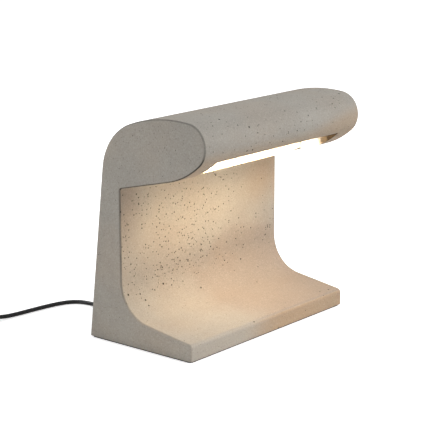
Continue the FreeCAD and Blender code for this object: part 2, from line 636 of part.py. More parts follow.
driver_end = size("driver_left") + size("driver_length") - size("driver_wall")
for label, side in (("led_wire_positive", -1), ("led_wire_negative", 1)):
    offset = side * size("wire_offset")
    end_height = size("driver_wire_height") - offset
    points = [p + V(offset, 0, 0) for p in conduit_route(size("led_wire_start"), end_height)]
    points.append(V(driver_end, size("conduit_drop"), end_height))
    wire = route_wire(points, (*ELBOWS, size("led_wire_turn")))
    in_lamp(label, solid(label, tube_along(wire, points[0], V(0, 1, 0), size("wire_radius"))))

for label, side in (("supply_wire_live", 1), ("supply_wire_neutral", -1)):
    x = size("cord_at") + side * size("wire_offset")
    turn = size("supply_line") + side * size("supply_spread")
    points = [V(x, size("cord_end"), size("cord_height")), V(x, turn, size("cord_height")),
              V(size("driver_left") + size("driver_wall"), turn, size("cord_height"))]
    wire = route_wire(points, (size("supply_turn"),))
    in_lamp(label, solid(label, tube_along(wire, points[0], V(0, -1, 0), size("wire_radius"))))

# ---------------------------------------------------------------- driver

DRIVER_FLOOR = "dims.plate_gap + dims.plate_thickness"
DRIVER_RIGHT = "dims.driver_left + dims.driver_length"
shell = block("driver_shell", "dims.driver_left", "dims.driver_front", DRIVER_FLOOR,
              "dims.driver_length", "dims.driver_depth", "dims.driver_height - dims.driver_lid")
hollow = block("driver_hollow", "dims.driver_left + dims.driver_wall",
               "dims.driver_front + dims.driver_wall", f"{DRIVER_FLOOR} + dims.driver_wall",
               "dims.driver_length - 2 * dims.driver_wall",
               "dims.driver_depth - 2 * dims.driver_wall", "dims.driver_height")
left_lug = block("left_lug", "dims.driver_left - dims.lug_length",
                 "dims.driver_front + dims.lug_offset", DRIVER_FLOOR, "dims.lug_length",
                 "dims.driver_depth / 3", "dims.lug_thickness")
right_lug = block("right_lug", DRIVER_RIGHT, "dims.driver_front", DRIVER_FLOOR,
                  "dims.lug_length", "dims.driver_depth / 3", "dims.lug_thickness")
LUG_SCREWS = [
    ("dims.driver_left - dims.lug_length / 2",
     "dims.driver_front + dims.lug_offset + dims.driver_depth / 6"),
    (f"{DRIVER_RIGHT} + dims.lug_length / 2", "dims.driver_front + dims.driver_depth / 6"),
]
lug_holes = [rod(f"lug_hole_{i}", x, y, DRIVER_FLOOR, "dims.lug_hole", "dims.lug_thickness")
             for i, (x, y) in enumerate(LUG_SCREWS)]
led_ways = [rod(f"led_way_{i}", f"{DRIVER_RIGHT} - dims.driver_wall", "dims.conduit_drop",
                f"dims.driver_wire_height + {side} * dims.wire_offset",
                "dims.wire_radius + dims.wire_gap", "dims.driver_wall", "x")
            for i, side in enumerate((-1, 1))]
supply_ways = [rod(f"supply_way_{i}", "dims.driver_left",
                   f"dims.supply_line + {side} * dims.supply_spread", "dims.cord_height",
                   "dims.wire_radius + dims.wire_gap", "dims.driver_wall", "x")
               for i, side in enumerate((-1, 1))]
in_lamp("driver_case", cut("driver_case", join("driver_outside", [shell, left_lug, right_lug]),
                           [hollow, *lug_holes, *led_ways, *supply_ways]))
LID_FLOOR = f"{DRIVER_FLOOR} + dims.driver_height - dims.driver_lid"
lid = block("lid_plate", "dims.driver_left", "dims.driver_front", LID_FLOOR,
            "dims.driver_length", "dims.driver_depth", "dims.driver_lid")
in_lamp("driver_lid", group("driver_lid", [lid]))
BOARD_FLOOR = f"{DRIVER_FLOOR} + dims.driver_board_lift"
BOARD_MARGIN = "(dims.driver_wall + dims.driver_board_gap)"
POST_COLUMNS = ("dims.driver_left + dims.post_inset_x", f"{DRIVER_RIGHT} - dims.post_inset_x")
POST_ROWS = ("dims.driver_front + dims.post_inset_y",
             "dims.driver_front + dims.driver_depth - dims.post_inset_y")
board_posts = [rod(f"board_post_{i}{j}", x, y, f"{DRIVER_FLOOR} + dims.driver_wall",
                   "dims.post_radius", "dims.driver_board_lift - dims.driver_wall")
               for i, x in enumerate(POST_COLUMNS) for j, y in enumerate(POST_ROWS)]
driver_circuit = block("driver_circuit", f"dims.driver_left + {BOARD_MARGIN}",
                       f"dims.driver_front + {BOARD_MARGIN}", BOARD_FLOOR,
                       f"dims.driver_length - 2 * {BOARD_MARGIN}",
                       f"dims.driver_depth - 2 * {BOARD_MARGIN}", "dims.board_thickness")
in_lamp("driver_board", join("driver_board", [driver_circuit, *board_posts]))
PARTS_FLOOR = f"{BOARD_FLOOR} + dims.board_thickness"
transformer = block("transformer", "dims.driver_left + dims.transformer_x",
                    "dims.driver_front + dims.transformer_y", PARTS_FLOOR,
                    "dims.transformer_length", "dims.transformer_depth", "dims.transformer_height")
input_capacitor, output_capacitor = (
    rod(f"{end}_capacitor", f"dims.driver_left + dims.{end}_x", f"dims.driver_front + dims.{end}_y",
        PARTS_FLOOR, f"dims.{end}_radius", "dims.capacitor_height") for end in ("input", "output"))
control_chip = block("control_chip", "dims.driver_left + dims.control_x",
                     "dims.driver_front + dims.control_y", PARTS_FLOOR,
                     "dims.control_length", "dims.control_depth", "dims.control_height")
in_lamp("driver_components", group("driver_components", [
    transformer, input_capacitor, output_capacitor, control_chip]))
in_lamp("driver_screws", group("driver_screws", [
    join(f"driver_screw_{i}", [
        rod(f"driver_screw_shank_{i}", x, y, "dims.plate_gap", "dims.lug_screw",
            "dims.plate_thickness + dims.lug_thickness"),
        rod(f"driver_screw_head_{i}", x, y, f"{DRIVER_FLOOR} + dims.lug_thickness",
            "dims.lug_head_radius", "dims.lug_head_height"),
    ]) for i, (x, y) in enumerate(LUG_SCREWS)]))

# ---------------------------------------------------------------- cord entry

# where the leaning back face crosses the cord's height, and where the strain relief ends
BACK_FACE = "(dims.base_depth - dims.cord_height * tan(dims.back_tilt * 1 deg))"
GRIP_TIP = f"({BACK_FACE} + dims.grip_length)"
POCKET_BACK = "(dims.pocket_front + dims.pocket_depth)"
supply_end = rod("supply_cord_bar", "dims.cord_at", "dims.cord_end", "dims.cord_height",
                 "dims.cord_radius", f"{GRIP_TIP} - dims.cord_end", "y")
in_lamp("supply_cord_end", group("supply_cord_end", [supply_end]))

bush = rod("grip_bush", "dims.cord_at", POCKET_BACK, "dims.cord_height",
           "dims.bore_radius - dims.bush_gap",
           f"{BACK_FACE} - {POCKET_BACK} + dims.overcut", "y")
inner_flange = rod("grip_inner_flange", "dims.cord_at", f"{POCKET_BACK} - dims.grip_flange",
                   "dims.cord_height", "dims.bore_radius + dims.grip_overhang",
                   "dims.grip_flange", "y")
collar = rod("grip_collar", "dims.cord_at", f"{BACK_FACE} + dims.grip_standoff",
             "dims.cord_height", "dims.grip_root_radius + dims.collar_overhang",
             "dims.grip_flange", "y")
tail = taper("grip_tail", "dims.cord_at", f"{BACK_FACE} + dims.grip_standoff",
             "dims.cord_height", "dims.grip_root_radius", "dims.grip_tip_radius",
             "dims.grip_length - dims.grip_standoff", "y")
grip_way = rod("grip_way", "dims.cord_at", f"{POCKET_BACK} - dims.grip_flange",
               "dims.cord_height", "dims.cord_radius",
               f"{GRIP_TIP} - {POCKET_BACK} + dims.grip_flange + dims.overcut", "y")
in_lamp("cord_grip", cut("cord_grip", join("grip_body", [bush, inner_flange, collar, tail]),
                         [grip_way]))

clamp_foot = block("clamp_foot", "dims.cord_at - dims.clamp_width / 2", "dims.clamp_at",
                   DRIVER_FLOOR, "dims.clamp_width", "dims.clamp_depth",
                   f"dims.clamp_split - ({DRIVER_FLOOR})")
clamp_bridge = block("clamp_bridge", "dims.cord_at - dims.clamp_width / 2", "dims.clamp_at",
                     "dims.clamp_split + dims.clamp_gap", "dims.clamp_width",
                     "dims.clamp_depth", "dims.clamp_top")
grooves = [rod(f"clamp_groove_{half}", "dims.cord_at", "dims.clamp_at", "dims.cord_height",
               "dims.cord_radius", "dims.clamp_depth", "y") for half in ("foot", "bridge")]
CLAMP_SCREWS = [f"dims.cord_at + {side} * dims.clamp_screw_span / 2" for side in (-1, 1)]
CLAMP_LINE = "dims.clamp_at + dims.clamp_depth / 2"
CLAMP_SEAT = "(dims.clamp_split + dims.clamp_gap + dims.clamp_top)"
TAP_END = "(dims.clamp_split - dims.clamp_tap_depth)"
clamp_holes = [[rod(f"clamp_hole_{half}_{i}", x, CLAMP_LINE, TAP_END, "dims.lug_hole",
                    f"{CLAMP_SEAT} - {TAP_END}") for i, x in enumerate(CLAMP_SCREWS)]
               for half in ("foot", "bridge")]
in_lamp("cord_clamp_base", cut("cord_clamp_base", clamp_foot, [grooves[0], *clamp_holes[0]]))
in_lamp("cord_clamp_bridge", cut("cord_clamp_bridge", clamp_bridge,
                                 [grooves[1], *clamp_holes[1]]))
in_lamp("cord_clamp_screws", group("cord_clamp_screws", [
    join(f"clamp_screw_{i}", [
        rod(f"clamp_screw_shank_{i}", x, CLAMP_LINE, TAP_END, "dims.lug_screw",
            f"{CLAMP_SEAT} - {TAP_END}"),
        rod(f"clamp_screw_head_{i}", x, CLAMP_LINE, CLAMP_SEAT, "dims.lug_head_radius",
            "dims.lug_head_height"),
    ]) for i, x in enumerate(CLAMP_SCREWS)]))

# ---------------------------------------------------------------- base

plate_blank = block("plate_blank", "dims.plate_gap - dims.plate_length / 2",
                    f"{POCKET_MIDDLE} + dims.plate_gap - dims.plate_depth / 2", "dims.plate_gap",
                    "dims.plate_length - 2 * dims.plate_gap",
                    "dims.plate_depth - 2 * dims.plate_gap", "dims.plate_thickness")
SCREW_CORNERS = [(f"{sx} * dims.plate_screw_span / 2",
                  f"{POCKET_MIDDLE} + {sy} * dims.plate_screw_spread / 2")
                 for sx, sy in INSERT_CORNERS]
plate_holes = [rod(f"plate_hole_{i}", x, y, "dims.plate_gap", "dims.screw_hole_radius",
                   "dims.plate_thickness") for i, (x, y) in enumerate(SCREW_CORNERS)]
plate_sinks = [taper(f"plate_sink_{i}", x, y, "dims.plate_gap", "dims.screw_head_radius",
                     "dims.screw_hole_radius", "dims.screw_head_height")
               for i, (x, y) in enumerate(SCREW_CORNERS)]
driver_taps = [rod(f"driver_tap_{i}", x, y, "dims.plate_gap", "dims.lug_screw",
                   "dims.plate_thickness") for i, (x, y) in enumerate(LUG_SCREWS)]
in_lamp("base_plate", cut("base_plate", plate_blank, plate_holes + plate_sinks + driver_taps))
in_lamp("base_plate_screws", group("base_plate_screws", [
    join(f"plate_screw_{i}", [
        taper(f"plate_screw_head_{i}", x, y, "dims.plate_gap", "dims.screw_head_radius",
              "dims.screw_hole_radius", "dims.screw_head_height"),
        rod(f"plate_screw_shank_{i}", x, y, "dims.plate_gap", "dims.screw_radius",
            "dims.plate_recess - dims.plate_gap + dims.insert_length"),
    ]) for i, (x, y) in enumerate(SCREW_CORNERS)]))
in_lamp("base_plate_inserts", group("base_plate_inserts", [
    cut(f"plate_insert_{i}",
        rod(f"plate_insert_body_{i}", x, y, "dims.plate_recess", "dims.insert_radius",
            "dims.insert_length"),
        [rod(f"plate_insert_thread_{i}", x, y, "dims.plate_recess", "dims.screw_hole_radius",
             "dims.insert_length")]) for i, (x, y) in enumerate(SCREW_CORNERS)]))

pad_body = body("base_pad")
pad_plan = rectangle(sketch_on(pad_body, "XY_Plane", "pad_plan", y="dims.base_depth / 2"),
                     "dims.lamp_length - 2 * dims.pad_inset",
                     "dims.base_depth - 2 * dims.pad_inset")
felt = feature_on(pad_body, "Pad", pad_plan, "dims.pad_thickness")
round_edges(pad_body, felt, "pad_corners",
            lambda e: e.BoundBox.ZLength > size("pad_thickness") / 2, "dims.pad_corner")
place(pad_body, "0", FRONT, "0")
node("base_pad", pad_body)

# ---------------------------------------------------------------- free cord and what is on it

R = size("cord_radius")
exit_height = size("pad_thickness") + size("cord_height")
lean = size("cord_height") * math.tan(math.radians(size("back_tilt")))
exit_y = front + size("base_depth") - lean + size("grip_length")
switch_in = size("switch_x") + size("switch_length") / 2
switch_out = size("switch_x") - size("switch_length") / 2
coil_low = size("coil_lift") + R
coil_front = size("coil_y") - size("coil_outer")
LEAD_ROUTE = [
    (size("cord_at"), exit_y, exit_height), (-59, 121, 14.6), (-57.3, 136.5, 9.8),
    (-54.3, 150.5, 3.4), (-51.8, 164, R), (-54.3, 175.9, R), (-61, 184.8, R), (-71.6, 190.4, R),
    (-87.4, 193.2, R), (-105, 195.4, R), (-122, 197, R), (-139, 199.4, 2.7), (-156, 202.4, 4.4),
    (switch_in, size("switch_y"), size("switch_entry")),
]
LINK_ROUTE = [
    (switch_out, size("switch_y"), size("switch_entry")), (-247, 203.7, 5.8), (-262, 203.6, 3.7),
    (size("coil_x"), coil_front, coil_low),
]
leave = math.radians(60)
coil_high = coil_low + 2 * R
TAIL_ROUTE = [
    (size("coil_x") + size("coil_outer") * math.cos(leave),
     size("coil_y") + size("coil_outer") * math.sin(leave), coil_high),
    (-247, 269.6, coil_high), (-238, 265.5, 7.6),
    (size("plug_x") - size("plug_length") / 2 - size("relief_length"), size("plug_y"),
     size("plug_height")),
]
for label, route in (("cord_lead", LEAD_ROUTE), ("cord_link", LINK_ROUTE), ("cord_tail", TAIL_ROUTE)):
    cord_tube(label, [V(*p) for p in route])

ring = body("cord_coil")
ring_section = rectangle(sketch_on(
    ring, "XZ_Plane", "ring_section",
    x="dims.coil_outer - dims.coil_band / 2",
    y="dims.coil_lift + 2 * dims.cord_radius"),
    "dims.coil_band + 2 * dims.cord_radius", "4 * dims.cord_radius")
turned = ring.newObject("PartDesign::Revolution", "ring_turned")
turned.Profile = ring_section
axis = next(f for f in ring.Origin.OriginFeatures if f.Role == "Z_Axis")
turned.ReferenceAxis = (axis, [""])
turned.Angle = 360
round_edges(ring, turned, "ring_rounding", lambda e: True, "dims.coil_rounding")
place(ring, "dims.coil_x", "dims.coil_y", "0")
node("cord_coil", ring)

BAND_OUT = "dims.coil_x - dims.coil_outer - dims.cord_radius - dims.tie_gap"
BAND_WIDTH = "dims.coil_band + 2 * dims.cord_radius + dims.tie_slack"
BAND_TOP = "dims.coil_lift + 4 * dims.cord_radius + dims.tie_gap"
tie_outside = block("tie_outside", f"{BAND_OUT} - dims.tie_thickness",
                    "dims.coil_y - dims.tie_width / 2", "0",
                    f"{BAND_WIDTH} + 2 * dims.tie_thickness", "dims.tie_width",
                    f"{BAND_TOP} + dims.tie_thickness")
tie_inside = block("tie_inside", BAND_OUT, "dims.coil_y - dims.tie_width / 2",
                   "dims.tie_thickness", BAND_WIDTH, "dims.tie_width",
                   f"{BAND_TOP} - dims.tie_thickness")
node("coil_tie", cut("coil_tie", tie_outside, [tie_inside]))

# ---------------------------------------------------------------- switch on the cord

SHELL_LENGTH = "(dims.switch_length - 2 * dims.snout_length)"
BOSSES = [(f"{s} * dims.boss_x", f"{s} * dims.boss_y") for s in (1, -1)]


def case_half(label, floor, height, floor_of_hollow, hollow_height):
    """Half of the switch's case: a rounded tray with its hollow already cut."""
    half = body(label)
    plan = rectangle(sketch_on(half, "XY_Plane", label + "_plan", lift=floor), SHELL_LENGTH,
                     "dims.switch_width")
    outside = feature_on(half, "Pad", plan, height)
    corners = round_edges(half, outside, label + "_corners",
                          lambda e: e.BoundBox.ZLength > size("switch_split") / 2,
                          "dims.switch_rounding")
    outer_face = 0 if floor == "0" else size("switch_height")
    round_edges(half, corners, label + "_rim",
                lambda e: e.BoundBox.ZLength < TOUCH and abs(e.CenterOfMass.z - outer_face) < TOUCH,
                "dims.switch_rim")
    inside = rectangle(sketch_on(half, "XY_Plane", label + "_inside", lift=floor_of_hollow),
                       f"{SHELL_LENGTH} - 2 * dims.switch_wall",
                       "dims.switch_width - 2 * dims.switch_wall")
    feature_on(half, "Pocket", inside, hollow_height, backwards=True)
    return half


lower = case_half("lower_tray", "0", "dims.switch_split", "dims.switch_wall",
                  "dims.switch_split")
upper = case_half("upper_tray", "dims.switch_split", "dims.switch_height - dims.switch_split",
                  "dims.switch_split", "dims.switch_height - dims.switch_split - dims.switch_wall")
snouts = [taper("snout_right", "dims.switch_length / 2 - dims.snout_length", "0",
                "dims.switch_entry", "dims.snout_radius", "dims.snout_tip_radius",
                "dims.snout_length", "x"),
          taper("snout_left", "-dims.switch_length / 2", "0", "dims.switch_entry",
                "dims.snout_tip_radius", "dims.snout_radius", "dims.snout_length", "x")]


def cord_bars(name, past):
    """A bar in each end of the switch, as thick as the cord, from past the snout to its tip."""
    length = f"(dims.snout_length + {past})"
    starts = (f"dims.switch_length / 2 - {length}", "-dims.switch_length / 2")
    return [rod(f"{name}_{i}", x, "0", "dims.switch_entry", "dims.cord_radius", length, "x")
            for i, x in enumerate(starts)]


def boss_rods(name, z, radius, length):
    """A rod on the line of each of the two case screws."""
    return [rod(f"{name}_{i}", x, y, z, radius, length) for i, (x, y) in enumerate(BOSSES)]


low_bosses = boss_rods("low_boss", "dims.switch_wall", "dims.boss_radius",
                       "dims.switch_split - dims.switch_wall")
high_bosses = boss_rods("high_boss", "dims.switch_split", "dims.boss_radius",
                        "dims.switch_height - dims.switch_split - dims.switch_wall")
screw_wells = boss_rods("screw_well", "0", "dims.switch_well_radius", "dims.switch_well_depth")
low_shanks = boss_rods("low_shank_hole", "0", "dims.boss_hole_radius", "dims.switch_split")
high_shanks = boss_rods("high_shank_hole", "dims.switch_split", "dims.boss_hole_radius",
                        "dims.boss_hole_depth")


def on_cord(label, thing):
    """A piece drawn about the switch's middle goes to the switch's place on the table."""
    place(thing, "dims.switch_x", "dims.switch_y", "0")
    return node(label, thing)


on_cord("switch_lower_case", cut("switch_lower_case", join("lower_outside", [
    lower, *snouts, *low_bosses]),
    [*cord_bars("switch_bore", "dims.cord_bore_past"), *screw_wells, *low_shanks]))
window = block("rocker_window", "-dims.window_length / 2", "-dims.window_width / 2",
               "dims.switch_height - dims.switch_wall - dims.overcut", "dims.window_length",
               "dims.window_width", "dims.switch_wall + 2 * dims.overcut")
LUG_FLOOR = "(dims.rocker_pivot - dims.pin_lug_drop)"
lugs = [block(f"pin_lug_{i}", "-dims.pin_lug_length / 2", y, LUG_FLOOR, "dims.pin_lug_length",
              "dims.pin_lug_width", f"dims.switch_height - dims.switch_wall - {LUG_FLOOR}")
        for i, y in enumerate(("dims.pin_length / 2 - dims.pin_lug_width", "-dims.pin_length / 2"))]
lug_bore = rod("lug_bore", "0", "-dims.pin_length / 2", "dims.rocker_pivot", "dims.pin_radius",
               "dims.pin_length", "y")
on_cord("switch_upper_case", cut("switch_upper_case", join("upper_outside", [
    upper, *high_bosses, *lugs]), [window, *high_shanks, lug_bore]))
HEAD_FLOOR = "dims.switch_well_depth - dims.switch_head_height"
switch_heads = boss_rods("switch_screw_head", HEAD_FLOOR, "dims.switch_head_radius",
                         "dims.switch_head_height")
switch_shanks = boss_rods("switch_screw_shank", HEAD_FLOOR, "dims.switch_screw_radius",
                          "dims.switch_screw_length")
on_cord("switch_screws", group("switch_screws", [
    join(f"switch_screw_{i}", pair) for i, pair in enumerate(zip(switch_heads, switch_shanks))]))
on_cord("switch_cord_ends", group("switch_cord_ends", cord_bars("switch_cord_end",
                                                                "dims.cord_end_past")))
on_cord("switch_terminals", group("switch_terminals", [
    block(f"terminal_{i}", x, "-dims.terminal_width / 2", "dims.switch_wall",
          "dims.terminal_length", "dims.terminal_width", "dims.terminal_height")
    for i, x in enumerate(("dims.terminal_x", "-dims.terminal_x - dims.terminal_length"))]))
on_cord("rocker_pin", group("rocker_pin", [
    rod("rocker_pin_bar", "0", "-dims.pin_length / 2", "dims.rocker_pivot", "dims.pin_radius",
        "dims.pin_length", "y")]))


def draw_rocker(sketch):
    """The rocker seen from the side: a shallow V on top, ends that are arcs about the pivot."""
    reach = size("window_length") / 2 - size("rocker_gap")
    slope = math.radians(size("rocker_tilt"))
    valley = size("rocker_valley")
    shoulder_x = (-valley * math.tan(slope)
                  + math.sqrt(reach ** 2 * (1 + math.tan(slope) ** 2) - valley ** 2))
    shoulder_x /= 1 + math.tan(slope) ** 2
    shoulder = V(shoulder_x, valley + shoulder_x * math.tan(slope), 0)
    low = V(math.sqrt(reach ** 2 - size("rocker_depth") ** 2), -size("rocker_depth"), 0)
    mirrored = [V(-p.x, p.y, 0) for p in (shoulder, low)]
    middle, zero = V(0, valley, 0), V(0, 0, 0)
    sketch.addGeometry([
        Part.LineSegment(middle, shoulder), arc_between(zero, low, shoulder),
        Part.LineSegment(mirrored[1], low), arc_between(zero, mirrored[0], mirrored[1]),
        Part.LineSegment(mirrored[0], middle),
        Part.Circle(zero, V(0, 0, 1), size("pin_hole")),
    ], False)
    joins = [(0, 2, 1, 2), (1, 1, 2, 2), (2, 1, 3, 2), (3, 1, 4, 1), (4, 2, 0, 1),
             (1, 3, -1, 1), (3, 3, -1, 1), (5, 3, -1, 1)]
    for ends in joins:
        sketch.addConstraint(Sketcher.Constraint("Coincident", *ends))
    sketch.addConstraint(Sketcher.Constraint("Horizontal", 2))
    sketch.addConstraint(Sketcher.Constraint("PointOnObject", 0, 1, -2))
    far = "dims.window_length / 2 - dims.rocker_gap"
    sized(sketch, "Radius", (1,), "right_reach", far, reach)
    sized(sketch, "Radius", (3,), "left_reach", far, reach)
    sized(sketch, "Radius", (5,), "bore", "dims.pin_hole", size("pin_hole"))
    sized(sketch, "DistanceY", (-1, 1, 0, 1), "valley", "dims.rocker_valley", valley)
    sized(sketch, "DistanceY", (2, 1, -1, 1), "low", "dims.rocker_depth", size("rocker_depth"))
    sized(sketch, "Angle", (0,), "right_slope", "dims.rocker_tilt * 1 deg", slope)
    sized(sketch, "Angle", (4,), "left_slope", "-dims.rocker_tilt * 1 deg", -slope)


rocker = body("switch_rocker")
rocker_side = sketch_on(rocker, "XZ_Plane", "rocker_side")
draw_rocker(rocker_side)
feature_on(rocker, "Pad", rocker_side, "dims.window_width - 2 * dims.rocker_gap", midplane=True)
rocker.Placement = FreeCAD.Placement(V(0, 0, 0), FreeCAD.Rotation(V(0, 1, 0),
                                                                  size("rocker_tilt")))
place(rocker, "dims.switch_x", "dims.switch_y", "dims.rocker_pivot")
node("switch_rocker", rocker)

# ---------------------------------------------------------------- plug

plug = body("plug_shell")
plug_plan = sketch_on(plug, "XY_Plane", "plug_plan")
polygon(plug_plan, [("plug_tail_x", "plug_tail_low"), ("plug_bend_x", "plug_low"),
                    ("plug_face_x", "plug_low"), ("plug_face_x", "plug_high"),
                    ("plug_bend_x", "plug_high"), ("plug_tail_x", "plug_tail_high")])
plug_block = feature_on(plug, "Pad", plug_plan, "dims.plug_thickness", midplane=True)
round_edges(plug, plug_block, "plug_rounding",
            lambda e: e.CenterOfMass.x < size("plug_face_x") - TOUCH, "dims.plug_rounding")
PIN_LINES = [f"{s} * dims.plug_pin_pitch / 2" for s in (-1, 1)]


def pin_roots(name):
    """The thin root of each pin, from inside the shell to just past its face."""
    return [rod(f"{name}_{i}", "dims.plug_face_x - dims.plug_pin_bite", line, "0",
                "dims.plug_pin_root", "dims.plug_pin_bite + dims.overcut", "x")
            for i, line in enumerate(PIN_LINES)]


def on_plug(label, thing):
    place(thing, "dims.plug_x", "dims.plug_y", "dims.plug_height")
    return node(label, thing)


on_plug("plug_body", cut("plug_body", plug, pin_roots("plug_pin_way")))
pins = []
for i, (line, root) in enumerate(zip(PIN_LINES, pin_roots("plug_pin_root"))):
    tip = doc.addObject("Part::Sphere", f"pin_tip_{i}")
    bind(tip, Radius="dims.plug_pin_radius")
    place(tip, "dims.plug_face_x + dims.plug_pin_length - dims.plug_pin_radius", line, "0")
    bar = rod(f"pin_bar_{i}", "dims.plug_face_x", line, "0", "dims.plug_pin_radius",
              "dims.plug_pin_length - dims.plug_pin_radius", "x")
    pins.append(join(f"plug_pin_{i}", [tip, bar, root]))
on_plug("plug_pins", group("plug_pins", pins))
on_plug("plug_relief", group("plug_relief", [
    taper("relief_cone", "dims.plug_tail_x - dims.relief_length", "0", "0", "dims.relief_tip",
          "dims.relief_root", "dims.relief_length", "x")]))

# ---------------------------------------------------------------- checks and output

doc.recompute()
for thing in doc.Objects:
    if "Invalid" in thing.State or "Error" in thing.State:
        raise RuntimeError(f"{thing.Label} failed: {thing.getStatusString()}")
os.makedirs("parts", exist_ok=True)
for label, thing in nodes.items():
    shape = thing.Shape
    if shape.isNull() or not shape.isValid() or not shape.Solids:
        raise RuntimeError(f"{label} has no valid solid")
    shape.exportStep(f"parts/{label}.step")
print(len(nodes), "nodes written")
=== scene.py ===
import logging
import math
from collections.abc import Callable, Sequence
from dataclasses import dataclass
from enum import Enum

import bmesh
import bpy
from mathutils import Euler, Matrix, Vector


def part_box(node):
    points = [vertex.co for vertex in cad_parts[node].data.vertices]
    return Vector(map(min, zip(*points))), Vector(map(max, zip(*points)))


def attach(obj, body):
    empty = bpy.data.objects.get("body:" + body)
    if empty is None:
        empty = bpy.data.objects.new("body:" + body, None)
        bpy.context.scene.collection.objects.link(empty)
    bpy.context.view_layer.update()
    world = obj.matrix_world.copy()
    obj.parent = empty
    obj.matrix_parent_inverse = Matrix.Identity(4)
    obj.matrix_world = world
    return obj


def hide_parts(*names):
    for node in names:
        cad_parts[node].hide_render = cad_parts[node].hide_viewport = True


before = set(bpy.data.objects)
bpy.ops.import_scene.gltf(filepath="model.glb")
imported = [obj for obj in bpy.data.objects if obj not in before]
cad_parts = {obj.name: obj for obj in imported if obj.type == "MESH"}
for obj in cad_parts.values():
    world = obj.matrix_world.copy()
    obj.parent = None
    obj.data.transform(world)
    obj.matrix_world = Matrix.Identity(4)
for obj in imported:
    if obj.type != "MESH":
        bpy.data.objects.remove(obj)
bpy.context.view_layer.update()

MM = 0.001
Colour = tuple[float, float, float]
Value = float | tuple[float, ...] | bpy.types.NodeSocket
log = logging.getLogger("lamp")


# ---------------------------------------------------------------- shader work


class Effect(Enum):
    """The surface effects that several finishes share, each built once as a node group."""

    BLOW_HOLES = "blow_holes"
    MOTTLE = "mottle"
    FINE_GRAIN = "fine_grain"
    WORN_EDGES = "worn_edges"
    SCUFFS = "scuffs"


class Zone(Enum):
    """Where on the block a mask is 0, and where it is 1.

    The first ones are parts of a face's normal. The others are places in metres: across, then from
    front to back, then up.
    """

    FRONTAL = (-0.72, -0.97)
    UPRIGHT = (-0.6, -0.9)
    END_FACE = (0.8, 0.98)
    SLOT_END_FACE = (0.8, 0.95)
    OFF_END_FACE = (0.9, 0.4)
    ROUNDING_BEGINS = (0.02, 0.35)
    ROUNDING_ENDS = (0.97, 0.72)
    FACES_UP = (0.5, 0.9)
    CROWN_FACES_UP = (0.2, 0.9)

    PAINTED_SHADE_SIDE = (-0.085, 0.02)
    WALL_LEFT = (-0.09, -0.13)
    WALL_RIGHT = (0.05, 0.12)
    PAINTED_GLOW_SIDE = (0.02, 0.14)
    SLOT_INSIDE = (0.112, 0.109)
    RIM_SIDE = (0.080, 0.098)

    BEHIND_TONGUE = (0.0, 0.02)
    BEFORE_BACK = (0.05, 0.03)
    BEFORE_WALL_BACK = (0.05, 0.04)
    BEFORE_SLOT = (-0.035, -0.05)
    BEFORE_SLOT_REAR = (-0.015, -0.020)
    SLOT_TAN = (-0.043, -0.053)
    SLOT_CORNER = (-0.055, -0.062)

    LIP_HEIGHT = (0.04, 0.03)
    TONGUE_HEIGHT = (0.12, 0.08)
    PAINTED_SHADE_HEIGHT = (0.115, 0.07)
    WALL_HIGH_LEFT = (0.09, 0.15)
    WALL_HIGH_RIGHT = (0.10, 0.15)
    BELOW_HEAD = (0.185, 0.18)
    SLOT_HEIGHT = (0.17, 0.18)
    EDGE_HEIGHT = (0.17, 0.19)
    HEAD_HEIGHT = (0.17, 0.20)
    EDGE_BAND = (0.226, 0.208)
    CROWN_HEIGHT = (0.19, 0.22)
    RIM_HEIGHT = (0.1872, 0.1862)


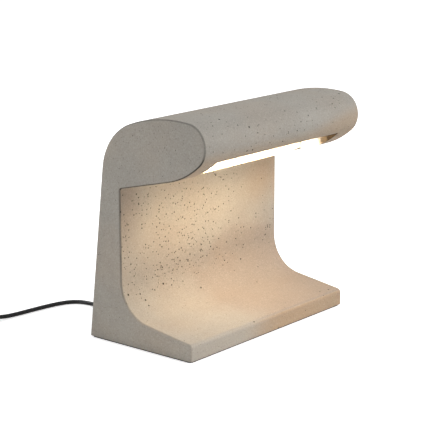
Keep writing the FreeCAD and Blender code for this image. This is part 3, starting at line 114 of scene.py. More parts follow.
class Nodes:
    """A shader node tree with short ways to add and join its nodes."""

    def __init__(self, tree: bpy.types.NodeTree) -> None:
        """Keep the tree to work in.

        Args:
            tree: a material's node tree or a node group.
        """
        self.tree = tree

    def feed(self, socket: bpy.types.NodeSocket, value: Value) -> None:
        """Give a socket what it works with.

        Args:
            socket: the input to feed.
            value: an output to link to it, or the number or colour to set it to.
        """
        if isinstance(value, bpy.types.NodeSocket):
            self.tree.links.new(value, socket)
        else:
            socket.default_value = value

    def add(self, kind: str, inputs: dict[str, Value] | None = None, **settings: object) -> bpy.types.Node:
        """Add a node.

        Args:
            kind: the node's type, such as ShaderNodeBump.
            inputs: what its sockets are fed, by name.
            settings: its own properties.

        Returns:
            The new node.
        """
        node = self.tree.nodes.new(kind)
        for name, value in settings.items():
            setattr(node, name, value)
        for name, value in (inputs or {}).items():
            self.feed(node.inputs[name], value)
        return node

    def calc(self, operation: str, *terms: Value) -> bpy.types.NodeSocket:
        """Work out a sum.

        Args:
            operation: the Math node's operation, such as MULTIPLY.
            terms: one to three numbers or sockets.

        Returns:
            The result.
        """
        node = self.add("ShaderNodeMath", operation=operation)
        for socket, term in zip(node.inputs, terms):
            self.feed(socket, term)
        return node.outputs[0]

    def all_of(self, *masks: Value) -> bpy.types.NodeSocket:
        """Multiply masks or shares.

        Args:
            masks: two or more of them.

        Returns:
            Their product, which is 0 where any of them is 0.
        """
        product, *others = masks
        for mask in others:
            product = self.calc("MULTIPLY", product, mask)
        return product

    def ramp(self, value: Value, low: Value, high: Value, first: float = 0.0,
             last: float = 1.0) -> bpy.types.NodeSocket:
        """Ease from one number to another as a value goes from low to high.

        Args:
            value: what the result depends on.
            low: the value where the result is first; it may be the larger one.
            high: the value where the result is last.
            first: the result at low and beyond it.
            last: the result at high and beyond it.

        Returns:
            The eased result.
        """
        node = self.add("ShaderNodeMapRange", {
            "Value": value, "From Min": low, "From Max": high, "To Min": first, "To Max": last,
        }, interpolation_type="SMOOTHSTEP")
        return node.outputs["Result"]

    def within(self, value: Value, zone: Zone) -> bpy.types.NodeSocket:
        """A mask that rises from 0 to 1 along a zone's span."""
        return self.ramp(value, *zone.value)

    def blend(self, mask: Value, first: Value, second: Value) -> bpy.types.NodeSocket:
        """Mix two colours.

        Args:
            mask: how much of the second there is.
            first: the colour where mask is 0.
            second: the colour where mask is 1.

        Returns:
            The mixed colour.
        """
        node = self.add("ShaderNodeMix", data_type="RGBA")
        for place, value in ((0, mask), (6, first), (7, second)):
            self.feed(node.inputs[place], value)
        return node.outputs[2]

    def noise(self, size: Value, detail: float = 3.0, seed: float = 0.0) -> bpy.types.NodeSocket:
        """Smooth noise that is fixed to the object.

        Args:
            size: about how wide its lumps are, in metres.
            detail: how many finer layers it has.
            seed: which of many patterns it is.

        Returns:
            A value from 0 to 1.
        """
        where = self.add("ShaderNodeTexCoord").outputs["Object"]
        node = self.add("ShaderNodeTexNoise", {
            "Vector": where, "W": seed, "Scale": self.calc("DIVIDE", 1.0, size), "Detail": detail,
        }, noise_dimensions="4D")
        return node.outputs[0]

    def effect(self, effect: Effect, **inputs: Value) -> bpy.types.NodeSocket:
        """Use a shared effect.

        Args:
            effect: which one.
            inputs: what its inputs are fed, by name, with underscores for spaces.

        Returns:
            The effect's output.
        """
        node = self.add("ShaderNodeGroup", node_tree=EFFECTS.group(effect))
        for name, value in inputs.items():
            self.feed(node.inputs[name.replace("_", " ")], value)
        return node.outputs[0]


class EffectShelf:
    """Builds each shared effect as a node group, the first time that a finish asks for it."""

    def __init__(self) -> None:
        """Start with an empty shelf."""
        self.made: dict[Effect, bpy.types.NodeTree] = {}
        self.recipes: dict[Effect, Callable[[], bpy.types.NodeTree]] = {
            Effect.BLOW_HOLES: self.blow_holes,
            Effect.MOTTLE: self.mottle,
            Effect.FINE_GRAIN: self.fine_grain,
            Effect.WORN_EDGES: self.worn_edges,
            Effect.SCUFFS: self.scuffs,
        }

    def group(self, effect: Effect) -> bpy.types.NodeTree:
        """The node group of an effect, made if it isn't there yet."""
        if effect not in self.made:
            self.made[effect] = self.recipes[effect]()
        return self.made[effect]

    def start(self, effect: Effect, output: str, **inputs: float) -> tuple[Nodes, dict, Callable]:
        """Open a node group.

        Args:
            effect: which effect it is.
            output: the name of its one output.
            inputs: its inputs' names, with underscores for spaces, and their usual values.

        Returns:
            The tree to work in, its inputs by name, and a function that closes it with a result.
        """
        tree = bpy.data.node_groups.new(effect.value, "ShaderNodeTree")
        for name, usual in inputs.items():
            socket = tree.interface.new_socket(name.replace("_", " "), in_out="INPUT",
                                               socket_type="NodeSocketFloat")
            socket.default_value = usual
        tree.interface.new_socket(output, in_out="OUTPUT", socket_type="NodeSocketFloat")
        nodes = Nodes(tree)
        given = nodes.add("NodeGroupInput").outputs
        sockets = {name: given[name.replace("_", " ")] for name in inputs}
        out = nodes.add("NodeGroupOutput")

        def close(result: bpy.types.NodeSocket) -> bpy.types.NodeTree:
            nodes.feed(out.inputs[0], result)
            return tree

        return nodes, sockets, close

    def blow_holes(self) -> bpy.types.NodeTree:
        """Round holes left by air in a casting: cut balls of random size in some cells of a 3-D lattice."""
        nodes, given, close = self.start(Effect.BLOW_HOLES, "Mask", Cell=0.007, Size=0.12, Cover=0.5)
        where = nodes.add("ShaderNodeTexCoord").outputs["Object"]
        cells = nodes.add("ShaderNodeTexVoronoi", {
            "Vector": where, "Scale": nodes.calc("DIVIDE", 1.0, given["Cell"]),
        })
        random = nodes.add("ShaderNodeSeparateColor", {"Color": cells.outputs["Color"]})
        there = nodes.calc("LESS_THAN", random.outputs[0], given["Cover"])
        size = nodes.calc("MULTIPLY", given["Size"], nodes.ramp(random.outputs[1], 0.0, 1.0, 0.35, 1.0))
        edge = nodes.calc("MULTIPLY", size, 0.55)
        hole = nodes.ramp(cells.outputs["Distance"], edge, size, 1.0, 0.0)
        return close(nodes.calc("MULTIPLY", hole, there))

    def mottle(self) -> bpy.types.NodeTree:
        """Cloudy unevenness of colour in two sizes of cloud."""
        nodes, given, close = self.start(Effect.MOTTLE, "Value", Size=0.05, Contrast=1.0)
        wide = nodes.noise(given["Size"], 2.0, 1.0)
        small = nodes.noise(nodes.calc("MULTIPLY", given["Size"], 0.22), 3.0, 2.0)
        both = nodes.calc("ADD", nodes.calc("MULTIPLY", wide, 0.65), nodes.calc("MULTIPLY", small, 0.35))
        apart = nodes.calc("MULTIPLY", nodes.calc("SUBTRACT", both, 0.5), given["Contrast"])
        return close(nodes.calc("ADD", apart, 0.5))

    def fine_grain(self) -> bpy.types.NodeTree:
        """The height of a fine even tooth, as sand or a moulding tool leaves it."""
        nodes, given, close = self.start(Effect.FINE_GRAIN, "Height", Size=0.0006)
        coarse = nodes.noise(given["Size"], 4.0, 3.0)
        fine = nodes.noise(nodes.calc("MULTIPLY", given["Size"], 0.3), 2.0, 4.0)
        return close(nodes.calc("ADD", coarse, nodes.calc("MULTIPLY", fine, 0.5)))

    def worn_edges(self) -> bpy.types.NodeTree:
        """A mask of the outer edges, broken up by noise."""
        nodes, given, close = self.start(Effect.WORN_EDGES, "Mask", Radius=0.0006)
        round_off = nodes.add("ShaderNodeBevel", {"Radius": given["Radius"]}, samples=4)
        true_face = nodes.add("ShaderNodeNewGeometry").outputs["Normal"]
        same = nodes.add("ShaderNodeVectorMath", operation="DOT_PRODUCT")
        nodes.feed(same.inputs[0], round_off.outputs[0])
        nodes.feed(same.inputs[1], true_face)
        edge = nodes.ramp(same.outputs["Value"], 0.99, 0.80)
        return close(nodes.calc("MULTIPLY", edge, nodes.ramp(nodes.noise(0.002, 3.0, 5.0), 0.38, 0.62)))

    def scuffs(self) -> bpy.types.NodeTree:
        """Sparse dull rub marks, as handling leaves them."""
        nodes, given, close = self.start(Effect.SCUFFS, "Mask", Size=0.01, Amount=0.5)
        cloud = nodes.noise(given["Size"], 4.0, 6.0)
        streak = nodes.noise(nodes.calc("MULTIPLY", given["Size"], 0.12), 2.0, 7.0)
        both = nodes.calc("MULTIPLY", nodes.ramp(cloud, 0.45, 0.68), nodes.ramp(streak, 0.45, 0.6))
        return close(nodes.calc("MULTIPLY", both, given["Amount"]))


EFFECTS = EffectShelf()


def shaded(colour: Colour, share: float) -> tuple[float, float, float, float]:
    """A colour made lighter or darker by a share of itself, with full alpha."""
    return (*(min(1.0, part * share) for part in colour), 1.0)


# ---------------------------------------------------------------- finishes


@dataclass(frozen=True)
class Finish:
    """A surface that any piece can be given; its material is made once and kept under its name."""

    name: str
    colour: Colour

    def material(self) -> bpy.types.Material:
        """The finish's material, made if it isn't there yet."""
        kept = bpy.data.materials.get("finish_" + self.name)
        if kept:
            return kept
        made = bpy.data.materials.new("finish_" + self.name)
        made.use_nodes = True
        made.node_tree.nodes.clear()
        nodes = Nodes(made.node_tree)
        shader = nodes.add("ShaderNodeBsdfPrincipled")
        output = nodes.add("ShaderNodeOutputMaterial")
        nodes.feed(output.inputs["Surface"], shader.outputs[0])
        self.paint(nodes, shader)
        return made

    def paint(self, nodes: Nodes, shader: bpy.types.Node) -> None:
        """Set and feed the shader's sockets; each kind of finish has its own way.

        Args:
            nodes: the material's tree.
            shader: its Principled shader.
        """
        raise NotImplementedError


@dataclass(frozen=True)
class Spot:
    """A point of the block, as sockets: its place, and how far its face looks back, up and aside."""

    x: bpy.types.NodeSocket
    y: bpy.types.NodeSocket
    z: bpy.types.NodeSocket
    back: bpy.types.NodeSocket
    up: bpy.types.NodeSocket
    aside: bpy.types.NodeSocket

    @classmethod
    def read(cls, nodes: Nodes) -> "Spot":
        """Read where the shaded point is and how its face looks.

        Args:
            nodes: the material's tree.

        Returns:
            The spot; aside is the same for both ends.
        """
        where = nodes.add("ShaderNodeTexCoord").outputs
        x, y, z = nodes.add("ShaderNodeSeparateXYZ", {"Vector": where["Object"]}).outputs
        across, back, up = nodes.add("ShaderNodeSeparateXYZ", {"Vector": where["Normal"]}).outputs
        return cls(x, y, z, back, up, nodes.calc("ABSOLUTE", across))


@dataclass(frozen=True)
class CastConcrete(Finish):
    """Fine concrete with blow holes, thickest on the wall under the head, with painted shade on the arrises,
    in the holes and on parts of the wall, and painted light of the strip near the slot.
    """

    # warm is a random tone of the concrete and also the colour of the strip's painted glow; dim is the brown
    # of the painted shade
    warm: Colour = (0.400, 0.300, 0.208)
    dim: Colour = (0.285, 0.215, 0.172)
    cool: Colour = (0.318, 0.318, 0.290)
    slot_lit_white: Colour = (0.90, 0.95, 1.0)
    slot_half_lit_tan: Colour = (0.30, 0.24, 0.165)
    slot_shade_dark: Colour = (0.12, 0.085, 0.05)
    hole_size: float = 0.30
    arris_shade: float = 0.55
    painted_shade_wander: float = 0.16
    painted_glow_rise: float = 0.018

    def crowding(self, nodes: Nodes, spot: Spot) -> bpy.types.NodeSocket:
        """How crowded the holes are.

        Args:
            nodes: the material's tree.
            spot: where the point is.

        Returns:
            A share: most on the wall, less on its right, some on the ends and head, least on the tongue.
        """
        wall = nodes.all_of(nodes.within(spot.back, Zone.FRONTAL), nodes.within(spot.y, Zone.BEHIND_TONGUE))
        drift = nodes.all_of(nodes.ramp(nodes.noise(0.05, 2.0, 8.0), 0.36, 0.60, 0.22, 1.0),
                             nodes.ramp(spot.x, -0.01, 0.07, 1.0, 0.35))
        head = nodes.all_of(nodes.within(spot.z, Zone.HEAD_HEIGHT), 0.16)
        ends = nodes.all_of(nodes.within(spot.aside, Zone.END_FACE), 0.45)
        tongue = nodes.all_of(nodes.within(spot.up, Zone.FACES_UP), nodes.within(spot.z, Zone.TONGUE_HEIGHT))
        rest = nodes.calc("SUBTRACT", nodes.calc("MAXIMUM", head, 0.11), nodes.all_of(tongue, 0.09))
        return nodes.calc("MAXIMUM", nodes.all_of(wall, drift), nodes.calc("MAXIMUM", rest, ends))

    def arris(self, nodes: Nodes, spot: Spot) -> bpy.types.NodeSocket:
        """A mask of the rounding between the end faces and the rest, where painted shade darkens it.

        Args:
            nodes: the material's tree.
            spot: where the point is.

        Returns:
            The mask, fainter low down and fullest on the underside.
        """
        line = nodes.all_of(nodes.within(spot.aside, Zone.ROUNDING_BEGINS),
                            nodes.within(spot.aside, Zone.ROUNDING_ENDS))
        fade = nodes.all_of(nodes.ramp(spot.z, 0.02, 0.10, 0.35, 1.0),
                            nodes.ramp(nodes.noise(0.03, 2.0, 10.0), 0.3, 0.6, 0.6, 1.0))
        underside = nodes.ramp(spot.up, -0.2, -0.4, 0.0, 1.6)
        return nodes.all_of(line, nodes.calc("MAXIMUM", fade, underside))

    def painted_shade_patches(self, nodes: Nodes, spot: Spot) -> bpy.types.NodeSocket:
        """A mask of the painted shade, a dim brown where the strip's light is weaker, whose edge wanders.

        Args:
            nodes: the material's tree.
            spot: where the point is.

        Returns:
            The mask: low on the wall, on the tongue and its lip, and high at the wall's left.
        """
        wander = nodes.all_of(nodes.calc("SUBTRACT", nodes.noise(0.07, 3.0, 11.0), 0.5), self.painted_shade_wander)
        low = nodes.all_of(nodes.within(nodes.calc("ADD", spot.x, wander), Zone.PAINTED_SHADE_SIDE),
                           nodes.within(nodes.calc("ADD", spot.z, wander), Zone.PAINTED_SHADE_HEIGHT))
        corner = nodes.all_of(nodes.within(spot.x, Zone.WALL_LEFT), nodes.within(spot.z, Zone.WALL_HIGH_LEFT))
        return nodes.all_of(nodes.calc("MAXIMUM", low, corner), nodes.within(spot.y, Zone.BEFORE_BACK),
                            nodes.within(spot.z, Zone.BELOW_HEAD),
                            nodes.within(spot.aside, Zone.OFF_END_FACE))

    def painted_glow(self, nodes: Nodes, spot: Spot) -> bpy.types.NodeSocket:
        """A mask of the painted warm glow of the strip's light.

        Args:
            nodes: the material's tree.
            spot: where the point is.

        Returns:
            The mask: along the slot's front edge, and high at the wall's right.
        """
        rise = nodes.all_of(nodes.within(spot.x, Zone.PAINTED_GLOW_SIDE), self.painted_glow_rise)
        edge = nodes.all_of(nodes.within(nodes.calc("SUBTRACT", spot.z, rise), Zone.EDGE_BAND),
                            nodes.within(spot.y, Zone.BEFORE_SLOT), nodes.within(spot.z, Zone.EDGE_HEIGHT))
        high = nodes.all_of(nodes.within(spot.x, Zone.WALL_RIGHT), nodes.within(spot.z, Zone.WALL_HIGH_RIGHT),
                            nodes.within(spot.y, Zone.BEHIND_TONGUE),
                            nodes.within(spot.y, Zone.BEFORE_WALL_BACK))
        return nodes.all_of(nodes.calc("MAXIMUM", edge, high), nodes.within(spot.aside, Zone.OFF_END_FACE))

    def slot_painted_light(self, nodes: Nodes, spot: Spot, grey: bpy.types.NodeSocket) -> bpy.types.NodeSocket:
        """Lay painted light on the slot's end walls and painted shade on its rear rim, over the colour.

        Args:
            nodes: the material's tree.
            spot: where the point is.
            grey: the colour so far.

        Returns:
            The colour with the end walls painted white as if lit by the strip, then tan, then painted dark
            shade in the front corner.
        """
        at_slot = nodes.within(spot.z, Zone.SLOT_HEIGHT)
        inner = nodes.all_of(nodes.within(nodes.calc("ABSOLUTE", spot.x), Zone.SLOT_INSIDE),
                             nodes.within(spot.aside, Zone.SLOT_END_FACE), at_slot)
        # painted light: the end walls white near the strip and tan further forward, with painted shade dark
        # in the front corner
        wall = nodes.blend(nodes.within(spot.y, Zone.SLOT_TAN), shaded(self.slot_lit_white, 1.0),
                           shaded(self.slot_half_lit_tan, 1.0))
        wall = nodes.blend(nodes.within(spot.y, Zone.SLOT_CORNER), wall, shaded(self.slot_shade_dark, 1.0))
        # painted shade: the rear rim painted near black
        rim = nodes.all_of(nodes.within(spot.z, Zone.RIM_HEIGHT), nodes.within(spot.x, Zone.RIM_SIDE),
                           nodes.within(spot.y, Zone.BEFORE_SLOT_REAR), at_slot,
                           nodes.within(spot.back, Zone.UPRIGHT))
        return nodes.blend(rim, nodes.blend(inner, grey, wall), shaded(self.colour, 0.03))

    def painted_light_and_shade(self, nodes: Nodes, spot: Spot, grey: bpy.types.NodeSocket) -> bpy.types.NodeSocket:
        """Lay painted light and shade over the colour: a paler lip as painted light, a dim brown painted
        shade, the strip's painted warm glow and painted shade on the head's top.

        Args:
            nodes: the material's tree.
            spot: where the point is.
            grey: the colour so far.

        Returns:
            The colour with all four.
        """
        lip = nodes.all_of(nodes.within(spot.back, Zone.UPRIGHT), nodes.within(spot.z, Zone.LIP_HEIGHT))
        # painted light: the lip's front face made paler
        grey = nodes.blend(nodes.all_of(lip, 0.45), grey, shaded(self.colour, 1.3))
        painted_shade_patches = self.painted_shade_patches(nodes, spot)
        off_lip = nodes.ramp(lip, 0.0, 1.0, 0.5, 0.0)
        # painted shade: a dim brown where the strip's light is weaker, less of it on the lip
        grey = nodes.blend(nodes.all_of(painted_shade_patches, off_lip), grey, shaded(self.dim, 1.0))
        # painted light: the strip's warm glow along the slot's front edge, high on the wall's right and on
        # the lip
        painted_warmth = nodes.calc("MAXIMUM", nodes.all_of(self.painted_glow(nodes, spot), 0.62), nodes.all_of(painted_shade_patches, lip))
        grey = nodes.blend(painted_warmth, grey, shaded(self.warm, 1.0))
        # painted shade: the head's upward faces made darker
        crown_painted_shade = nodes.all_of(nodes.within(spot.up, Zone.CROWN_FACES_UP),
                             nodes.within(spot.z, Zone.CROWN_HEIGHT), 0.26)
        return nodes.blend(crown_painted_shade, grey, shaded(self.colour, 0.6))

    def tone(self, nodes: Nodes, spot: Spot) -> bpy.types.NodeSocket:
        """The concrete's colour without its holes.

        Args:
            nodes: the material's tree.
            spot: where the point is.

        Returns:
            Cloudy grey that drifts between cool and warm, with painted light and shade laid over it, and sand
            grains in it.
        """
        cloud = nodes.effect(Effect.MOTTLE, Size=0.05, Contrast=1.5)
        hue = nodes.ramp(nodes.noise(0.08, 3.0, 12.0), 0.36, 0.64)
        grey = nodes.blend(cloud, shaded(self.colour, 0.88), shaded(self.colour, 1.12))
        grey = nodes.blend(0.16, grey, nodes.blend(hue, shaded(self.cool, 1.0), shaded(self.warm, 1.0)))
        grey = self.painted_light_and_shade(nodes, spot, grey)
        sand = nodes.noise(0.0016, 2.0, 9.0)
        grey = nodes.blend(nodes.ramp(sand, 0.50, 0.72, 0.0, 0.22), grey, shaded(self.colour, 0.45))
        return nodes.blend(nodes.ramp(sand, 0.48, 0.30, 0.0, 0.18), grey, shaded(self.colour, 1.7))

    def paint(self, nodes: Nodes, shader: bpy.types.Node) -> None:
        """Cloudy grey, with holes sunk in it and painted dark as the shade inside them, painted shade on the
        arrises, and a sandy tooth.
        """
        spot = Spot.read(nodes)
        crowd = self.crowding(nodes, spot)
        large = nodes.effect(Effect.BLOW_HOLES, Cell=0.0046, Size=self.hole_size,
                             Cover=nodes.all_of(crowd, 0.80))
        small = nodes.effect(Effect.BLOW_HOLES, Cell=0.0029, Size=self.hole_size,
                             Cover=nodes.all_of(crowd, 0.62))
        specks = nodes.effect(Effect.BLOW_HOLES, Cell=0.0026, Size=0.24, Cover=0.20)
        holes = nodes.calc("MAXIMUM", large, nodes.all_of(small, 0.9))
        # painted shade: the small pits here and the holes below are painted darker, as the shade inside them
        grey = nodes.blend(nodes.all_of(specks, 0.6), self.tone(nodes, spot), shaded(self.colour, 0.40))
        grey = nodes.blend(nodes.all_of(holes, 0.94), grey, shaded(self.colour, 0.08))
        grey = self.slot_painted_light(nodes, spot, grey)
        # painted shade: the arris rounding is darkened, most on the underside
        edge = nodes.all_of(self.arris(nodes, spot), self.arris_shade)
        nodes.feed(shader.inputs["Base Color"], nodes.blend(edge, grey, shaded(self.colour, 0.10)))
        nodes.feed(shader.inputs["Roughness"], nodes.ramp(holes, 0.0, 1.0, 0.86, 0.96))
        shader.inputs["Specular IOR Level"].default_value = 0.25
        tooth = nodes.effect(Effect.FINE_GRAIN, Size=0.0014)
        sand_bump = nodes.add("ShaderNodeBump", {"Height": tooth, "Strength": 0.35, "Distance": 0.0005})
        pit_bump = nodes.add("ShaderNodeBump", {
            "Height": nodes.calc("MAXIMUM", holes, nodes.all_of(specks, 0.3)),
            "Strength": 0.9, "Distance": 0.0012, "Normal": sand_bump.outputs[0],
        }, invert=True)
        nodes.feed(shader.inputs["Normal"], pit_bump.outputs[0])


@dataclass(frozen=True)
class MouldedPlastic(Finish):
    """Moulded plastic or rubber: a fine tool texture, faint rub marks and paler worn edges."""

    roughness: float = 0.45
    tooth: float = 0.12
    tooth_size: float = 0.0005
    wear: float = 0.35
    specular: float = 0.5

    def paint(self, nodes: Nodes, shader: bpy.types.Node) -> None:
        """An even colour, broken a little by rubbing and at the edges."""
        cloud = nodes.effect(Effect.MOTTLE, Size=0.012, Contrast=0.9)
        rub = nodes.effect(Effect.SCUFFS, Size=0.012, Amount=0.5)
        edge = nodes.calc("MULTIPLY", nodes.effect(Effect.WORN_EDGES, Radius=0.0005), self.wear)
        even = nodes.blend(cloud, shaded(self.colour, 0.92), shaded(self.colour, 1.08))
        rubbed = nodes.blend(nodes.calc("MULTIPLY", rub, 0.2), even, shaded(self.colour, 1.9))
        nodes.feed(shader.inputs["Base Color"], nodes.blend(edge, rubbed, shaded(self.colour, 1.7)))
        dull = nodes.calc("ADD", nodes.ramp(cloud, 0.2, 0.8, self.roughness - 0.05, self.roughness + 0.05),
                          nodes.calc("MULTIPLY", rub, 0.22))
        nodes.feed(shader.inputs["Roughness"], dull)
        shader.inputs["Specular IOR Level"].default_value = self.specular
        soft_edge = nodes.add("ShaderNodeBevel", {"Radius": 0.0004}, samples=4)
        tooth = nodes.effect(Effect.FINE_GRAIN, Size=self.tooth_size)
        bump = nodes.add("ShaderNodeBump", {
            "Height": tooth, "Strength": self.tooth, "Distance": 0.0002, "Normal": soft_edge.outputs[0],
        })
        nodes.feed(shader.inputs["Normal"], bump.outputs[0])


@dataclass(frozen=True)
class BareMetal(Finish):
    """Metal with a drawn or brushed lay along one axis and brighter worn edges."""

    roughness: float = 0.32
    lay: tuple[float, float, float] = (40.0, 1600.0, 1600.0)
    metallic: float = 1.0

    def paint(self, nodes: Nodes, shader: bpy.types.Node) -> None:
        """Fine lines along the lay, in colour, gloss and height."""
        where = nodes.add("ShaderNodeTexCoord").outputs["Object"]
        drawn = nodes.add("ShaderNodeVectorMath", operation="MULTIPLY")
        nodes.feed(drawn.inputs[0], where)
        nodes.feed(drawn.inputs[1], self.lay)
        lines = nodes.add("ShaderNodeTexNoise", {"Vector": drawn.outputs[0], "Scale": 1.0, "Detail": 3.0})
        line = lines.outputs[0]
        cloud = nodes.effect(Effect.MOTTLE, Size=0.02, Contrast=1.0)
        edge = nodes.effect(Effect.WORN_EDGES, Radius=0.0004)
        tone = nodes.blend(line, shaded(self.colour, 0.86), shaded(self.colour, 1.08))
        tone = nodes.blend(nodes.calc("MULTIPLY", cloud, 0.25), tone, shaded(self.colour, 0.78))
        nodes.feed(shader.inputs["Base Color"],
                   nodes.blend(nodes.calc("MULTIPLY", edge, 0.5), tone, shaded(self.colour, 1.25)))
        nodes.feed(shader.inputs["Roughness"],
                   nodes.ramp(line, 0.2, 0.8, self.roughness - 0.07, self.roughness + 0.09))
        shader.inputs["Metallic"].default_value = self.metallic
        soft_edge = nodes.add("ShaderNodeBevel", {"Radius": 0.0003}, samples=4)
        bump = nodes.add("ShaderNodeBump", {
            "Height": line, "Strength": 0.08, "Distance": 0.0001, "Normal": soft_edge.outputs[0],
        })
        nodes.feed(shader.inputs["Normal"], bump.outputs[0])


@dataclass(frozen=True)
class LitOpal(Finish):
    """Milky plastic lit from behind: brighter under each LED, a little dimmer towards its ends."""

    strength: float = 3.0
    led_pitch: float = 0.009

    def paint(self, nodes: Nodes, shader: bpy.types.Node) -> None:
        """A warm glow with a faint row of bright places."""
        where = nodes.add("ShaderNodeTexCoord").outputs["Object"]
        along = nodes.add("ShaderNodeSeparateXYZ", {"Vector": where}).outputs["X"]
        phase = nodes.calc("MULTIPLY", along, 2.0 * math.pi / self.led_pitch)
        row = nodes.calc("MULTIPLY_ADD", nodes.calc("COSINE", phase), 0.04, 0.96)
        ends = nodes.ramp(nodes.calc("ABSOLUTE", along), 0.090, 0.104, 1.0, 0.72)
        level = nodes.calc("MULTIPLY", row, ends)
        haze = nodes.effect(Effect.MOTTLE, Size=0.03, Contrast=0.4)
        warm = nodes.blend(level, shaded(self.colour, 0.0), shaded(self.colour, 1.0))
        nodes.feed(shader.inputs["Emission Color"], warm)
        shader.inputs["Emission Strength"].default_value = self.strength
        nodes.feed(shader.inputs["Base Color"],
                   nodes.blend(haze, (0.82, 0.80, 0.76, 1.0), (0.90, 0.89, 0.87, 1.0)))
        nodes.feed(shader.inputs["Roughness"], nodes.ramp(haze, 0.2, 0.8, 0.42, 0.52))
        tooth = nodes.effect(Effect.FINE_GRAIN, Size=0.0008)
        bump = nodes.add("ShaderNodeBump", {"Height": tooth, "Strength": 0.05, "Distance": 0.0002})
        nodes.feed(shader.inputs["Normal"], bump.outputs[0])


@dataclass(frozen=True)
class CircuitBoard(Finish):
    """A lacquered board with tracks under the lacquer."""

    track: Colour = (0.10, 0.34, 0.16)

    def paint(self, nodes: Nodes, shader: bpy.types.Node) -> None:
        """Broad tracks from a brick pattern, slightly raised."""
        where = nodes.add("ShaderNodeTexCoord").outputs["Object"]
        bricks = nodes.add("ShaderNodeTexBrick", {
            "Vector": where, "Scale": 60.0, "Mortar Size": 0.06, "Mortar Smooth": 0.2,
        })
        tracks = bricks.outputs["Fac"]
        nodes.feed(shader.inputs["Base Color"], nodes.blend(tracks, (*self.colour, 1.0), (*self.track, 1.0)))
        cloud = nodes.effect(Effect.MOTTLE, Size=0.01, Contrast=1.0)
        nodes.feed(shader.inputs["Roughness"], nodes.ramp(cloud, 0.2, 0.8, 0.28, 0.40))
        bump = nodes.add("ShaderNodeBump", {"Height": tracks, "Strength": 0.2, "Distance": 0.0001})
        nodes.feed(shader.inputs["Normal"], bump.outputs[0])


@dataclass(frozen=True)
class WovenStrap(Finish):
    """Napped hook-and-loop webbing."""

    loop: float = 0.0007

    def paint(self, nodes: Nodes, shader: bpy.types.Node) -> None:
        """Small loops in rows, with fuzz that catches the light."""
        where = nodes.add("ShaderNodeTexCoord").outputs["Object"]
        cells = nodes.add("ShaderNodeTexVoronoi", {
            "Vector": where, "Scale": 1.0 / self.loop, "Randomness": 0.55,
        })
        loop = nodes.ramp(cells.outputs["Distance"], 0.15, 0.75)
        nodes.feed(shader.inputs["Base Color"],
                   nodes.blend(loop, shaded(self.colour, 1.5), shaded(self.colour, 0.5)))
        nodes.feed(shader.inputs["Roughness"], nodes.ramp(loop, 0.0, 1.0, 0.8, 0.95))
        shader.inputs["Sheen Weight"].default_value = 0.4
        shader.inputs["Sheen Roughness"].default_value = 0.5
        bump = nodes.add("ShaderNodeBump", {"Height": loop, "Strength": 0.6, "Distance": 0.0004}, invert=True)
        nodes.feed(shader.inputs["Normal"], bump.outputs[0])


@dataclass(frozen=True)
class PalePaper(Finish):
    """The studio floor: an even white sweep that shows bright but throws little light back up."""

    glow: float = 0.62
    far: tuple[float, float] = (0.5, 2.0)

    def paint(self, nodes: Nodes, shader: bpy.types.Node) -> None:
        """Plain white with a trace of unevenness."""
        cloud = nodes.effect(Effect.MOTTLE, Size=0.8, Contrast=0.5)
        nodes.feed(shader.inputs["Base Color"],
                   nodes.blend(cloud, shaded(self.colour, 0.99), shaded(self.colour, 1.01)))
        shader.inputs["Roughness"].default_value = 0.9
        shader.inputs["Specular IOR Level"].default_value = 0.0
        where = nodes.add("ShaderNodeTexCoord").outputs["Object"]
        away = nodes.add("ShaderNodeVectorMath", operation="LENGTH")
        nodes.feed(away.inputs[0], where)
        level = nodes.ramp(away.outputs["Value"], *self.far, self.glow, 1.0)
        seen = nodes.all_of(nodes.add("ShaderNodeLightPath").outputs["Is Camera Ray"], level)
        nodes.feed(shader.inputs["Emission Color"],
                   nodes.blend(seen, (0.0, 0.0, 0.0, 1.0), (1.0, 1.0, 1.0, 1.0)))
        shader.inputs["Emission Strength"].default_value = 1.0


CONCRETE = CastConcrete("concrete", (0.352, 0.328, 0.292))
SHEATH = MouldedPlastic("cord_sheath", (0.012, 0.012, 0.013), roughness=0.42, tooth=0.05, wear=0.0)
RELIEF = MouldedPlastic("relief_rubber", (0.013, 0.013, 0.014), roughness=0.5, tooth=0.1)
SWITCH_CASE = MouldedPlastic("switch_case", (0.014, 0.014, 0.015), roughness=0.38, tooth=0.16)
ROCKER = MouldedPlastic("rocker_cap", (0.020, 0.020, 0.021), roughness=0.28, tooth=0.05)
PLUG_SHELL = MouldedPlastic("plug_shell", (0.014, 0.014, 0.015), roughness=0.42, tooth=0.18)
CLAMP = MouldedPlastic("clamp_plastic", (0.06, 0.06, 0.06), roughness=0.55)
FOAM = MouldedPlastic("base_foam", (0.012, 0.012, 0.012), roughness=0.9, tooth=0.8, tooth_size=0.0011,
                      wear=0.0, specular=0.2)
GROMMET = MouldedPlastic("grommet_rubber", (0.02, 0.02, 0.02), roughness=0.7)
CONDUIT = MouldedPlastic("conduit_plastic", (0.40, 0.40, 0.38), roughness=0.5)
WHITE_PLASTIC = MouldedPlastic("white_plastic", (0.72, 0.71, 0.69), roughness=0.4, wear=0.1)
DRIVER_SHELL = MouldedPlastic("driver_shell", (0.62, 0.62, 0.60), roughness=0.5, tooth=0.25, wear=0.1)
COMPONENT = MouldedPlastic("component_black", (0.03, 0.03, 0.033), roughness=0.35)
PHOSPHOR = MouldedPlastic("led_phosphor", (0.80, 0.50, 0.08), roughness=0.35, wear=0.0)
WHITE_SHEET = MouldedPlastic("white_reflector", (0.84, 0.82, 0.78), roughness=0.45, tooth=0.05, wear=0.1)
LED_BOARD = MouldedPlastic("led_board_white", (0.80, 0.80, 0.78), roughness=0.3, wear=0.1)
